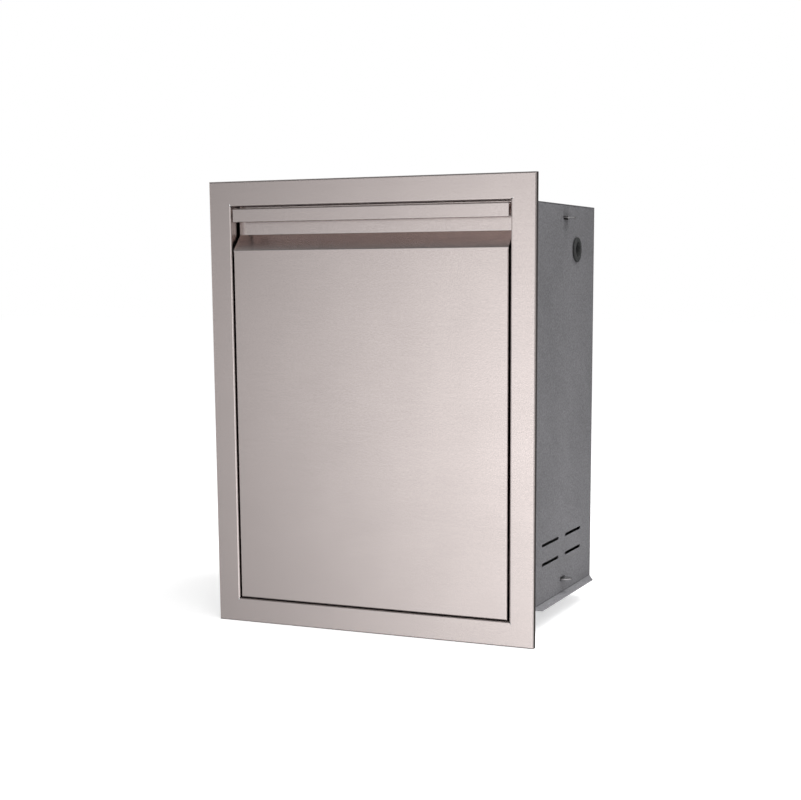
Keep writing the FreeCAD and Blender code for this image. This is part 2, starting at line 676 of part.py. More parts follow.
def slide_inner():
    start = on_race(INNER_BALL_U, INNER_BALL_V, -90 - LIP_INNER)
    run = SLIDE_W - SLIDE_T / 2 - SLIDE_BEND - INNER_BALL_U
    moves = [(RACE_R, LIP_INNER), (run, 0), (SLIDE_BEND, -90)]
    member = slide_member(start, -LIP_INNER, moves, SLIDE_FRONT, SLIDE_REAR)
    for y in slide_screw_ys():
        member = hole(member, Vector(TRAY_HALF_W, y, SLIDE_Z), X_AXIS, SCREW_SHANK_R + SHANK_FIT, 4 * SLIDE_T)
    return member


def cage_start(share):
    """Front end of a cage at rest; with the drawer out it lies CAGE_END_GAP inside the stretch
    that the two members it runs between still share. share is its travel over the drawer's."""
    rear_of_stretch = SLIDE_REAR - TRAVEL * (share + 0.25)
    return rear_of_stretch - CAGE_END_GAP - CAGE_LENGTH + TRAVEL * share


def cage_ball_ys(share):
    start = cage_start(share) + CAGE_BALL_END
    step = (CAGE_LENGTH - 2 * CAGE_BALL_END) / (CAGE_BALLS - 1)
    return [start + step * i for i in range(CAGE_BALLS)]


def race_of(share):
    """Ball centre line and the cage's free edge, in slide coordinates."""
    if share < 0.5:
        edge = SLIDE_T + CAGE_SIDE_GAP
        return BALL_COLUMN, OUTER_BALL_V, edge, edge + CAGE_W
    edge = SLIDE_W - SLIDE_T - CAGE_SIDE_GAP
    return INNER_BALL_U, INNER_BALL_V, edge - CAGE_W, edge


def ball_cage(share):
    ball_u, ball_v, low_u, high_u = race_of(share)
    y0 = cage_start(share)
    strips = []
    for sign in (1, -1):
        v = sign * ball_v
        strip = polygon([(low_u, v - CAGE_T / 2), (high_u, v - CAGE_T / 2),
                         (high_u, v + CAGE_T / 2), (low_u, v + CAGE_T / 2)], slide_plane)
        strip = extruded(strip, Y_AXIS, y0, y0 + CAGE_LENGTH)
        for y in cage_ball_ys(share):
            centre = slide_plane(ball_u, v) + Y_AXIS * y
            strip = hole(strip, centre, Z_AXIS, BALL_R + CAGE_HOLE_GAP, 4 * CAGE_T)
        strips.append(strip)
    return Part.makeCompound(strips)


def cage_balls(share):
    ball_u, ball_v, _, _ = race_of(share)
    balls = []
    for sign in (1, -1):
        for y in cage_ball_ys(share):
            centre = slide_plane(ball_u, sign * ball_v) + Y_AXIS * y
            balls.append(Part.makeSphere(BALL_R, centre))
    return Part.makeCompound(balls)


def rail_screws():
    """Low screws through the slide's outer web into the rail."""
    screws = []
    for y in slide_screw_ys():
        seat = Vector(SLIDE_FACE - SLIDE_T, y, SLIDE_Z)
        screw = flat_head(seat, -X_AXIS, FLAT_HEAD_R, FLAT_HEAD_H, SCREW_SHANK_R, SLIDE_T + RAIL_T + 2)
        screws += [screw, mirrored(screw)]
    return Part.makeCompound(screws)


def carriage_slide_screws():
    """Screws from inside the carriage through its side into the slide's inner web."""
    screws = []
    for y in slide_screw_ys():
        seat = Vector(TRAY_HALF_W - TRAY_T, y, SLIDE_Z)
        screw = domed_head(seat, -X_AXIS, SCREW_HEAD_R, SCREW_HEAD_H, SCREW_SHANK_R, TRAY_T + SLIDE_T + 2)
        screws += [screw, mirrored(screw)]
    return Part.makeCompound(screws)


# Drawer front

def drawer_front_skin():
    """One folded sheet: bottom return, panel, slanted lead-in, recess wall, top, grip bar and hem."""
    rear = SKIN_REAR
    wall = FACE_Y + RECESS_DEPTH
    under = FRONT_TOP - SKIN_T
    behind = FACE_Y + SKIN_T
    hem_low = GRIP_LOW + SKIN_T
    points = [(rear, FRONT_BOTTOM), (FACE_Y, FRONT_BOTTOM), (FACE_Y, SLANT_LOW), (wall, SLANT_HIGH), (wall, under),
              (behind, under), (behind, hem_low), (behind + HEM_GAP, hem_low), (behind + HEM_GAP, hem_low + HEM_LEG)]
    radii = [SKIN_BEND, SKIN_BEND, SKIN_BEND, SKIN_BEND, SKIN_BEND, HEM_GAP / 2, HEM_GAP / 2]
    sheet = extruded(folded(points, SKIN_T, radii, -1, in_yz), X_AXIS, -FRONT_HALF_W, FRONT_HALF_W)
    cheek = polygon([(rear, FRONT_BOTTOM), (FACE_Y + SKIN_BEND + SKIN_T, FRONT_BOTTOM),
                     (FACE_Y + SKIN_T / 2, FRONT_BOTTOM + SKIN_BEND + SKIN_T), (FACE_Y + SKIN_T / 2, SLANT_LOW),
                     (rear - SKIN_T / 2, SLANT_HIGH), (rear, SLANT_HIGH)], in_yz)
    right = extruded(cheek, X_AXIS, FRONT_HALF_W - SKIN_T, FRONT_HALF_W)
    sheet = joined([sheet, right, mirrored(right)])
    corner = corner_cutter()
    sheet = sheet.cut(corner)
    return sheet.cut(mirrored(corner))


def corner_cutter():
    """What the bend takes off the panel's vertical edge: a square less a quarter round."""
    radius = SKIN_BEND + SKIN_T
    x, y = FRONT_HALF_W, FACE_Y
    top = SLANT_LOW - radius
    square = block(x - radius, x + 1, y - 1, y + radius, FRONT_BOTTOM - 1, top)
    return square.cut(rod(Vector(x - radius, y + radius, FRONT_BOTTOM - 2), Z_AXIS, radius, top - FRONT_BOTTOM + 4))


def drawer_front_liner():
    """Inner pan: a flat back with flanges that fit inside the skin's returns."""
    side = FRONT_HALF_W - SKIN_T
    low = FRONT_BOTTOM + SKIN_T
    flange_top = SLANT_LOW - LINER_FLANGE
    back = block(-side, side, SKIN_REAR, LINER_REAR, low + LINER_T + TRAY_BEND, FRONT_TOP)
    bottom = folded([(LINER_REAR, low + 2 * (LINER_T + TRAY_BEND)), (LINER_REAR, low),
                     (LINER_REAR - LINER_T - LINER_FLANGE, low)], LINER_T, TRAY_BEND, -1, in_yz)
    bottom = extruded(bottom, X_AXIS, -side + LINER_T + TRAY_BEND, side - LINER_T - TRAY_BEND)
    flange = block(side - LINER_T, side, SKIN_REAR - LINER_FLANGE, SKIN_REAR, low + LINER_T + TRAY_BEND, flange_top)
    liner = joined([back, bottom, flange, mirrored(flange)])
    for x, z, _ in front_screw_points():
        liner = hole(liner, Vector(x, LINER_REAR, z), Y_AXIS, SCREW_SHANK_R + SHANK_FIT, 4 * LINER_T)
    return liner


def front_stiffeners():
    """Hat channels between the panel and the liner."""
    front = FACE_Y + SKIN_T
    low = FRONT_BOTTOM + SKIN_T + STIFFENER_END
    high = SLANT_LOW - STIFFENER_END
    half = STIFFENER_W / 2
    foot = half - STIFFENER_FLANGE
    hats = []
    for x in (-STIFFENER_X, STIFFENER_X):
        rear = SKIN_REAR
        points = [(x - half, rear - STIFFENER_T), (x - foot, rear - STIFFENER_T), (x - foot, front),
                  (x + foot, front), (x + foot, rear - STIFFENER_T), (x + half, rear - STIFFENER_T)]
        section = folded(points, STIFFENER_T, BOX_BEND, 1, in_xy)
        hats.append(extruded(section, Z_AXIS, low, high))
    return Part.makeCompound(hats)


# Carriage

def tray_side():
    """Right side: hemmed top, inward flanges at the bottom, the front and the rear."""
    outer = TRAY_HALF_W
    bend_out = TRAY_BEND + TRAY_T
    low, high = TRAY_BOTTOM, TRAY_TOP
    hem_in = outer - TRAY_T
    flange_z = low + bend_out
    hem_z = high - TRAY_T
    hem_leg = hem_z - TRAY_HEM
    section = folded([(outer - TRAY_FLANGE, low), (outer, low), (outer, flange_z + 1)], TRAY_T, TRAY_BEND, 1, in_xz)
    bottom = extruded(section, Y_AXIS, LINER_REAR + bend_out, TRAY_REAR - bend_out)
    hem_front = LINER_REAR + BRACE_FOOT + 1.0
    wall = joined([block(hem_in, outer, LINER_REAR + bend_out, TRAY_REAR - bend_out, flange_z, hem_z - HEM_GAP),
                   block(hem_in, outer, LINER_REAR + bend_out, hem_front, hem_z - 2 * HEM_GAP, high)])
    hem = folded([(hem_in, hem_z - 2 * HEM_GAP), (hem_in, hem_z), (hem_in - HEM_GAP, hem_z),
                  (hem_in - HEM_GAP, hem_leg)], TRAY_T, HEM_GAP / 2, -1, in_xz)
    hem = extruded(hem, Y_AXIS, hem_front, TRAY_REAR - bend_out)
    front = folded([(outer - TRAY_FLANGE, LINER_REAR), (outer, LINER_REAR), (outer, LINER_REAR + bend_out + 1)],
                   TRAY_T, TRAY_BEND, 1, in_xy)
    front = extruded(front, Z_AXIS, flange_z, hem_leg)
    rear = folded([(outer, TRAY_REAR - bend_out - 1), (outer, TRAY_REAR), (outer - TRAY_FLANGE, TRAY_REAR)],
                  TRAY_T, TRAY_BEND, 1, in_xy)
    rear = extruded(rear, Z_AXIS, flange_z, hem_leg)
    side = joined([bottom, wall, hem, front, rear])
    for y in slide_screw_ys():
        side = hole(side, Vector(outer, y, SLIDE_Z), X_AXIS, SCREW_SHANK_R + SHANK_FIT, 4 * TRAY_T)
    for y, z in brace_rivet_points():
        side = hole(side, Vector(outer, y, z), X_AXIS, RIVET_SHANK_R + SHANK_FIT, 4 * TRAY_T)
    for x, z, thickness in front_screw_points():
        if x > 0 and z < TRAY_TOP:
            side = hole(side, Vector(x, LINER_REAR, z), Y_AXIS, SCREW_SHANK_R + SHANK_FIT, 4 * thickness)
    for x, z in tray_corner_rivets():
        if x > 0:
            side = hole(side, Vector(x, TRAY_REAR, z), Y_AXIS, RIVET_SHANK_R + SHANK_FIT, 4 * TRAY_T)
    return side


def tray_base():
    """Floor of the carriage, with upturned edges and a collared seat for a bottle's foot ring."""
    bend_out = TRAY_BEND + TRAY_T
    half = TRAY_HALF_W - TRAY_T
    front, rear = LINER_REAR + TRAY_T, TRAY_REAR - TRAY_T
    sheet = folded([(-half, BASE_Z + BASE_FLANGE), (-half, BASE_Z), (half, BASE_Z), (half, BASE_Z + BASE_FLANGE)],
                   TRAY_T, TRAY_BEND, 1, in_xz)
    sheet = extruded(sheet, Y_AXIS, front + bend_out, rear - bend_out)
    lips = []
    for y, way in ((front, 1), (rear, -1)):
        lip = folded([(y + way * (bend_out + 1), BASE_Z), (y, BASE_Z), (y, BASE_Z + BASE_FLANGE)],
                     TRAY_T, TRAY_BEND, -way, in_yz)
        lips.append(extruded(lip, X_AXIS, -half + bend_out, half - bend_out))
    sheet = joined([sheet] + lips)
    centre = tank_centre()
    sheet = hole(sheet, centre, Z_AXIS, TANK_HOLE_R + TANK_COLLAR_BEND + TRAY_T, 8 * TRAY_T)
    sheet = joined([sheet, tank_collar()])
    for x_sign in (-1, 1):
        for y in (front + DRAIN_INSET, rear - DRAIN_INSET):
            sheet = hole(sheet, Vector(x_sign * (half - DRAIN_INSET), y, BASE_Z), Z_AXIS, DRAIN_R, 8 * TRAY_T)
    return sheet


def tank_centre():
    return Vector(0, (LINER_REAR + TRAY_REAR) / 2, BASE_Z)


def tank_collar():
    """The rim of the bottle's seat, drawn up from the base sheet."""
    start = (TANK_HOLE_R + TANK_COLLAR_BEND + TRAY_T + 2.0, 0.0)
    points = [start, (TANK_HOLE_R, 0.0), (TANK_HOLE_R, TANK_COLLAR_H + TRAY_T)]
    section = folded(points, TRAY_T, TANK_COLLAR_BEND, -1, in_xz)
    collar = section.revolve(Vector(0, 0, 0), Z_AXIS, 360)
    collar.translate(tank_centre())
    return collar


def tray_back():
    half = TRAY_HALF_W - TRAY_T - TRAY_BEND
    y = TRAY_REAR - TRAY_T
    high = BASE_TOP + TRAY_BACK_H
    hem_z = high - TRAY_T
    low = BASE_Z + BASE_FLANGE + 1.0
    panel = block(-half, half, y - TRAY_T, y, low, hem_z - HEM_GAP)
    hem = folded([(y - TRAY_T, hem_z - 2 * HEM_GAP), (y - TRAY_T, hem_z), (y - TRAY_T - HEM_GAP, hem_z),
                  (y - TRAY_T - HEM_GAP, hem_z - TRAY_HEM)], TRAY_T, HEM_GAP / 2, -1, in_yz)
    panel = joined([panel, extruded(hem, X_AXIS, -half, half)])
    for x, z in tray_corner_rivets():
        panel = hole(panel, Vector(x, y, z), Y_AXIS, RIVET_SHANK_R + SHANK_FIT, 4 * TRAY_T)
    return panel


def front_brace():
    """Right gusset: ties the tall front to the carriage's side, with a flange along two edges."""
    outer = TRAY_HALF_W - TRAY_T
    front = LINER_REAR
    low = TRAY_TOP - BRACE_LAP
    bend_out = BRACE_T + TRAY_BEND
    clear = TRAY_T + 1.0
    toe = front + BRACE_FOOT
    plate_points = [(front + bend_out, TRAY_TOP), (front + clear + TRAY_FLANGE, TRAY_TOP),
                    (front + clear + TRAY_FLANGE, low), (toe, low), (toe, TRAY_TOP), (front + BRACE_TIP, BRACE_TOP),
                    (front + bend_out, BRACE_TOP)]
    plate = extruded(polygon(plate_points, in_yz), X_AXIS, outer - BRACE_T, outer)
    flange = folded([(outer - BRACE_FLANGE, front), (outer, front), (outer, front + bend_out + 1)],
                    BRACE_T, TRAY_BEND, 1, in_xy)
    flange = extruded(flange, Z_AXIS, TRAY_TOP, BRACE_TOP)
    run_y, run_z = front + BRACE_TIP - toe, BRACE_TOP - TRAY_TOP
    length = math.hypot(run_y, run_z)
    edge = Part.makeBox(BRACE_FLANGE - BRACE_T, BRACE_T, length)
    edge.rotate(Vector(0, 0, 0), X_AXIS, math.degrees(math.atan2(-run_y, run_z)))
    edge.translate(Vector(outer - BRACE_FLANGE, toe, TRAY_TOP))
    shift = BRACE_T * run_z / length
    edge.translate(Vector(0, -shift, BRACE_T * run_y / length))
    brace = joined([plate, flange, edge])
    for y, z in brace_rivet_points():
        brace = hole(brace, Vector(outer, y, z), X_AXIS, RIVET_SHANK_R + SHANK_FIT, 4 * TRAY_T)
    for x, z, thickness in front_screw_points():
        if x > 0 and z > TRAY_TOP:
            brace = hole(brace, Vector(x, LINER_REAR, z), Y_AXIS, SCREW_SHANK_R + SHANK_FIT, 4 * thickness)
    return brace


def front_screws():
    screws = []
    for x, z, thickness in front_screw_points():
        seat = Vector(x, LINER_REAR + thickness, z)
        screws.append(domed_head(seat, Y_AXIS, SCREW_HEAD_R, SCREW_HEAD_H, SCREW_SHANK_R, thickness + LINER_T + 4))
    return Part.makeCompound(screws)


def tray_rivets():
    rivets = []
    for y, z in brace_rivet_points():
        seat = Vector(TRAY_HALF_W - TRAY_T - BRACE_T, y, z)
        rivet = domed_head(seat, -X_AXIS, RIVET_HEAD_R, RIVET_HEAD_H, RIVET_SHANK_R, TRAY_T + BRACE_T + 0.6)
        rivets += [rivet, mirrored(rivet)]
    for x, z in tray_corner_rivets():
        seat = Vector(x, TRAY_REAR - 2 * TRAY_T, z)
        rivets.append(domed_head(seat, -Y_AXIS, RIVET_HEAD_R, RIVET_HEAD_H, RIVET_SHANK_R, 2 * TRAY_T))
    return Part.makeCompound(rivets)


# Writing the sub-parts

def pair(right_name, left_name, shape):
    return {right_name: shape, left_name: mirrored(shape)}


def build():
    parts = {
        "face_frame": face_frame(),
        "cabinet_top": cabinet_top(),
        "cabinet_back": cabinet_back(),
        "cabinet_floor": cabinet_floor(),
        "cabinet_rivets": cabinet_rivets(),
        "mounting_ears": mounting_ears(),
        "rear_bumpers": rear_bumpers(),
        "rail_screws": rail_screws(),
        "drawer_front_skin": drawer_front_skin(),
        "drawer_front_liner": drawer_front_liner(),
        "front_stiffeners": front_stiffeners(),
        "tray_base": tray_base(),
        "tray_back": tray_back(),
        "front_screws": front_screws(),
        "tray_rivets": tray_rivets(),
        "carriage_slide_screws": carriage_slide_screws(),
    }
    sides = (("cabinet_{}_side", side_wall), ("{}_slide_rail", slide_rail), ("{}_hose_grommet", hose_grommet),
             ("{}_slide_outer", slide_outer), ("{}_slide_middle", slide_middle), ("{}_slide_inner", slide_inner),
             ("tray_{}_side", tray_side), ("{}_front_brace", front_brace))
    for name, make in sides:
        parts.update(pair(name.format("right"), name.format("left"), make()))
    for cage, share in (("outer", 0.25), ("inner", 0.75)):
        parts.update(pair("right_" + cage + "_cage", "left_" + cage + "_cage", ball_cage(share)))
        parts.update(pair("right_" + cage + "_balls", "left_" + cage + "_balls", cage_balls(share)))
    return parts


os.makedirs("parts", exist_ok=True)
for node, shape in build().items():
    if not shape.isValid():
        print("not valid:", node)
    print(node, len(shape.Solids), "solids,", round(shape.Volume, 1), "mm3")
    shape.exportStep("parts/" + node + ".step")
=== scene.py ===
"""Dresses and stages a built-in outdoor kitchen drawer unit.

A tall flush front of brushed steel sits in a folded face frame, on a box of grey coated sheet.
Behind the front a low carriage runs out on ball-bearing slides. Each sub-assembly is a class that
holds its sizes, builds what the sheet-metal model leaves plain (rubber grommets, buffers, screw and
rivet heads, bearing balls), and gives every sheet its finish. Metres throughout: +X right, +Y back,
+Z up, with the origin at the middle of the cut-out's sill edge.
"""

import enum
import json
import logging
import math
from dataclasses import dataclass
from functools import partial
from typing import Callable

import bmesh
import bpy
import numpy as np
from mathutils import Matrix, Vector


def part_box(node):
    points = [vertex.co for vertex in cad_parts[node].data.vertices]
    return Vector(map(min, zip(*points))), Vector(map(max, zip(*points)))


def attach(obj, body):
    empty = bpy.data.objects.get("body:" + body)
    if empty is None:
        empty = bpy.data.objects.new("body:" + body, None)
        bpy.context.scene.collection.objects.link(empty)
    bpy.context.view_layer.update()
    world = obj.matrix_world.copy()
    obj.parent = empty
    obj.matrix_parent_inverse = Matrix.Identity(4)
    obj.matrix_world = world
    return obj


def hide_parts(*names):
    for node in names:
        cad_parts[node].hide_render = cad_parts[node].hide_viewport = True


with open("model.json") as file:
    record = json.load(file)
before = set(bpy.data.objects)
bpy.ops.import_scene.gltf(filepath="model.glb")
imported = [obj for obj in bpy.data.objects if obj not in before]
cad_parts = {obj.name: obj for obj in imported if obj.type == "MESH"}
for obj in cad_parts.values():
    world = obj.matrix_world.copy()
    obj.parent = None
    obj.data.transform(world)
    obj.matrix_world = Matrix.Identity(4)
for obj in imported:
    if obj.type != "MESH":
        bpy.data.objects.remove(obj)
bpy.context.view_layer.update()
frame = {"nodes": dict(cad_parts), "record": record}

log = logging.getLogger("drawer_unit")
MM = 0.001

# Points closer than the weld are one point, edges shorter than the sliver are dropped, and faces that
# meet more sharply than the crease are shaded as an edge
WELD = 1e-7
SLIVER = 1e-8
CREASE = math.radians(38)

# Decimals that decide whether two points share a place, and how solids are ordered
POINT_DIGITS = 7
ORDER_DIGITS = 5

Pair = tuple[float, float]
Triple = tuple[float, float, float]
Socket = bpy.types.NodeSocket
Surface = tuple[np.ndarray, np.ndarray]
Heights = Callable[[np.ndarray, np.ndarray], np.ndarray]
Facing = Callable[[np.ndarray, np.ndarray], Triple]


# Node graphs

class Graph:
    """A node tree, with short calls that add nodes and wire them."""

    def __init__(self, tree: bpy.types.NodeTree) -> None:
        """Take over a tree and empty it."""
        self.tree = tree
        self.tree.nodes.clear()

    def add(self, kind: str, **settings: object) -> bpy.types.Node:
        """Add a node and set its properties.

        Args:
            kind: the node's type.
            **settings: properties to set on it.

        Returns:
            The node.
        """
        node = self.tree.nodes.new(kind)
        for key, value in settings.items():
            setattr(node, key, value)
        return node

    def wire(self, source: Socket, target: Socket) -> None:
        """Connect an output to an input."""
        self.tree.links.new(source, target)

    def feed(self, value: object, target: Socket) -> None:
        """Connect an output, or set a plain value, on an input.

        Args:
            value: an output or a plain value.
            target: the input.
        """
        if isinstance(value, Socket):
            self.wire(value, target)
        else:
            target.default_value = value

    def math(self, operation: str, *values: object) -> Socket:
        """Apply one arithmetic operation.

        Args:
            operation: what is worked out.
            *values: outputs or numbers.

        Returns:
            The result.
        """
        node = self.add("ShaderNodeMath", operation=operation)
        for value, target in zip(values, node.inputs):
            self.feed(value, target)
        return node.outputs["Value"]

    def weighted(self, values: tuple[Socket, ...], weights: tuple[float, ...]) -> Socket:
        """Add several values, each times its weight.

        Args:
            values: the outputs to add.
            weights: a number for each of them.

        Returns:
            The sum.
        """
        total, *rest = (self.math("MULTIPLY", value, weight) for value, weight in zip(values, weights))
        for term in rest:
            total = self.math("ADD", total, term)
        return total

    def remap(self, value: Socket, edges: Pair, ends: Pair, course: str = "LINEAR") -> Socket:
        """Carry a value from one range onto another, held at both ends.

        Args:
            value: what is carried.
            edges: where its range starts and stops.
            ends: the results there.
            course: how the result runs between them, LINEAR or SMOOTHSTEP.

        Returns:
            The carried value.
        """
        node = self.add("ShaderNodeMapRange", clamp=True, interpolation_type=course)
        for key, number in zip(("From Min", "From Max", "To Min", "To Max"), (*edges, *ends)):
            node.inputs[key].default_value = number
        self.wire(value, node.inputs["Value"])
        return node.outputs["Result"]

    def step(self, value: Socket, edges: Pair, ends: Pair) -> Socket:
        """A smooth step of a value, from one end to the other between two edges."""
        return self.remap(value, edges, ends, "SMOOTHSTEP")

    def share_along(self, way: Socket, axis: Triple) -> Socket:
        """How much of a direction points along an axis.

        Args:
            way: the direction.
            axis: the axis, of any length.

        Returns:
            1 along the axis and -1 against it.
        """
        node = self.add("ShaderNodeVectorMath", operation="DOT_PRODUCT")
        node.inputs[1].default_value = Vector(axis).normalized()
        self.wire(way, node.inputs[0])
        return node.outputs["Value"]

    def seen(self, path: bpy.types.Node) -> Socket:
        """1 where the camera, a mirror or glass looks, and 0 for light that falls on the object.

        Args:
            path: the tree's light path node.

        Returns:
            The largest of the three rays' outputs.
        """
        found = path.outputs["Is Camera Ray"]
        for kind in ("Is Glossy Ray", "Is Transmission Ray"):
            found = self.math("MAXIMUM", found, path.outputs[kind])
        return found

    def blend(self, share: Socket, first: object, second: object) -> Socket:
        """Mix two numbers.

        Args:
            share: 0 gives the first and 1 the second.
            first: an output or a number.
            second: an output or a number.

        Returns:
            The mixed number.
        """
        node = self.add("ShaderNodeMix", data_type="FLOAT")
        self.wire(share, node.inputs[0])
        self.feed(first, node.inputs[2])
        self.feed(second, node.inputs[3])
        return node.outputs[0]

    def choose(self, share: Socket, first: Socket, second: Socket) -> Socket:
        """Mix two shaders.

        Args:
            share: 0 gives the first and 1 the second.
            first: a shader's output.
            second: another shader's output.

        Returns:
            The mixed shader's output.
        """
        node = self.add("ShaderNodeMixShader")
        for source, target in zip((share, first, second), node.inputs):
            self.wire(source, target)
        return node.outputs[0]


class Shader(Graph):
    """One material's node tree, from object coordinates to a surface shader."""

    def __init__(self, name: str) -> None:
        """Start a material.

        Args:
            name: the material's name.
        """
        self.material = bpy.data.materials.new(name)
        self.material.use_nodes = True
        super().__init__(self.material.node_tree)
        self.surface = self.add("ShaderNodeBsdfPrincipled")
        output = self.add("ShaderNodeOutputMaterial")
        self.wire(self.surface.outputs["BSDF"], output.inputs["Surface"])
        self.place = self.add("ShaderNodeTexCoord").outputs["Object"]

    def stretched(self, scale: Triple) -> Socket:
        """Object coordinates multiplied by a scale per axis.

        Args:
            scale: features per metre along X, Y and Z.

        Returns:
            The scaled coordinate.
        """
        mapping = self.add("ShaderNodeMapping")
        mapping.inputs["Scale"].default_value = scale
        self.wire(self.place, mapping.inputs["Vector"])
        return mapping.outputs["Vector"]

    def noise(self, vector: Socket, scale: float = 1.0, detail: float = 2.0,
              roughness: float = 0.5) -> Socket:
        """Fractal noise of a coordinate.

        Args:
            vector: where the noise is read.
            scale: features per unit of that coordinate.
            detail: octaves.
            roughness: how strong the fine octaves are.

        Returns:
            A value round 0.5.
        """
        node = self.add("ShaderNodeTexNoise")
        self.wire(vector, node.inputs["Vector"])
        node.inputs["Scale"].default_value = scale
        node.inputs["Detail"].default_value = detail
        node.inputs["Roughness"].default_value = roughness
        return node.outputs["Fac"]

    def tint(self, share: Socket, first: Triple, second: Triple) -> None:
        """Colour the surface between two colours.

        Args:
            share: 0 gives the first and 1 the second.
            first: a colour.
            second: another colour.
        """
        node = self.add("ShaderNodeMix", data_type="RGBA")
        self.wire(share, node.inputs[0])
        node.inputs[6].default_value = (*first, 1.0)
        node.inputs[7].default_value = (*second, 1.0)
        self.wire(node.outputs[2], self.surface.inputs["Base Color"])

    def mottle(self, value: Socket, span: Pair, colour: Triple, contrast: float) -> None:
        """Colour the surface darker and lighter round one colour.

        Args:
            value: what sets the colour.
            span: the values that give the darkest and the lightest.
            colour: the colour between them.
            contrast: how far each end lies from it, as a share of it.
        """
        share = self.remap(value, span, (0.0, 1.0))
        self.tint(share, shaded(colour, 1 - contrast), shaded(colour, 1 + contrast))

    def gloss(self, value: Socket, span: Pair, roughness: Pair) -> None:
        """Let a value, over a span of it, set the roughness between two ends."""
        self.wire(self.remap(value, span, roughness), self.surface.inputs["Roughness"])

    def relief(self, height: Socket, depth: float) -> None:
        """Raise the surface.

        Args:
            height: how far, from 0 to 1.
            depth: how far 1 is, in metres.
        """
        node = self.add("ShaderNodeBump")
        node.inputs["Strength"].default_value = 1.0
        node.inputs["Distance"].default_value = depth
        self.wire(height, node.inputs["Height"])
        self.wire(node.outputs["Normal"], self.surface.inputs["Normal"])


def shaded(colour: Triple, factor: float) -> Triple:
    """A colour multiplied by a factor and held at 1."""
    return tuple(min(1.0, c * factor) for c in colour)


# Finishes

class Grain(enum.Enum):
    """Which way a brushed sheet's lines run, leaning a little so that they carry on round each bend."""

    ALONG_X = (1.0, 0.08, 0.03)
    ALONG_Y = (0.08, 1.0, 0.03)
    ALONG_Z = (0.03, 0.08, 1.0)


@dataclass(frozen=True)
class BrushedSteel:
    """Stainless sheet with a short-line satin grain and a fine mottle between the lines.

    The grain is noise read in coordinates that are stretched along the line: value = noise(x / length,
    y / pitch, z / pitch). It spreads reflections across the lines and keeps them along the lines. The
    weights are those of the fine streaks, the broad ones, the specks and the clouds.
    """

    name: str
    colour: Triple = (0.694, 0.618, 0.6)
    roughness: float = 0.24
    roughness_swing: float = 0.03
    grain: Grain = Grain.ALONG_X
    length: float = 6 * MM
    pitch: float = 0.5 * MM
    broad_factor: float = 5.0
    speck: float = 1.5 * MM
    cloud: float = 90 * MM
    weights: tuple[float, ...] = (0.4, 0.1, 0.4, 0.1)
    span: Pair = (0.35, 0.65)
    contrast: float = 0.1
    directional: float = 0.5
    quarter_turn: float = 0.25
    depth: float = 0.006 * MM

    def streaks(self, shader: Shader, length: float, pitch: float) -> Socket:
        """Streaks along the grain.

        Args:
            shader: the tree to add to.
            length: how long a streak is.
            pitch: how far apart streaks lie.

        Returns:
            The streaks as a value round 0.5.
        """
        scale = tuple(1 / length if along == 1.0 else 1 / pitch for along in self.grain.value)
        return shader.noise(shader.stretched(scale), detail=3.0, roughness=0.62)

    def spread(self, shader: Shader) -> None:
        """Turn the wide side of the reflection across the lines, a quarter turn from their direction.

        Args:
            shader: the tree to add to.
        """
        along = shader.add("ShaderNodeCombineXYZ")
        for value, target in zip(self.grain.value, along.inputs):
            target.default_value = value
        shader.wire(along.outputs[0], shader.surface.inputs["Tangent"])
        shader.surface.inputs["Anisotropic"].default_value = self.directional
        shader.surface.inputs["Anisotropic Rotation"].default_value = self.quarter_turn

    def build(self) -> bpy.types.Material:
        """Mix streaks, specks and clouds into colour and gloss, over a shallow grain.

        Returns:
            The material.
        """
        shader = Shader(self.name)
        fine = self.streaks(shader, self.length, self.pitch)
        broad = self.streaks(shader, self.length * self.broad_factor, self.pitch * self.broad_factor)
        speck = shader.noise(shader.place, scale=1 / self.speck, detail=1.0)
        cloud = shader.noise(shader.place, scale=1 / self.cloud, detail=1.0)
        mixed = shader.weighted((fine, broad, speck, cloud), self.weights)
        shader.mottle(mixed, self.span, self.colour, self.contrast)
        ends = (self.roughness + self.roughness_swing, self.roughness - self.roughness_swing)
        shader.gloss(mixed, self.span, ends)
        shader.surface.inputs["Metallic"].default_value = 1.0
        shader.relief(fine, self.depth)
        self.spread(shader)
        return shader.material


@dataclass(frozen=True)
class CoatedSheet:
    """Grey coated sheet with a fine tooth, light and dark specks and faint patches.

    Specks and patches are noise at two scales, mixed by their weights; the tooth is the finer one used
    as height.
    """

    name: str
    colour: Triple = (0.138, 0.136, 0.143)
    speck: float = 2.6 * MM
    patch: float = 104 * MM
    weights: Pair = (0.88, 0.12)
    span: Pair = (0.35, 0.65)
    contrast: float = 0.3
    roughness: float = 0.5
    roughness_swing: float = 0.04
    roughness_span: Pair = (0.3, 0.7)
    sheen_level: float = 0.3
    tooth: float = 0.03 * MM

    def build(self) -> bpy.types.Material:
        """Speckle the colour, let the patches change the gloss, and raise the tooth.

        Returns:
            The material.
        """
        shader = Shader(self.name)
        fine = shader.noise(shader.place, scale=1 / self.speck, detail=2.0, roughness=0.6)
        broad = shader.noise(shader.place, scale=1 / self.patch, detail=2.0)
        mixed = shader.weighted((fine, broad), self.weights)
        shader.mottle(mixed, self.span, self.colour, self.contrast)
        ends = (self.roughness - self.roughness_swing, self.roughness + self.roughness_swing)
        shader.gloss(broad, self.roughness_span, ends)
        shader.surface.inputs["Specular IOR Level"].default_value = self.sheen_level
        shader.relief(fine, self.tooth)
        return shader.material


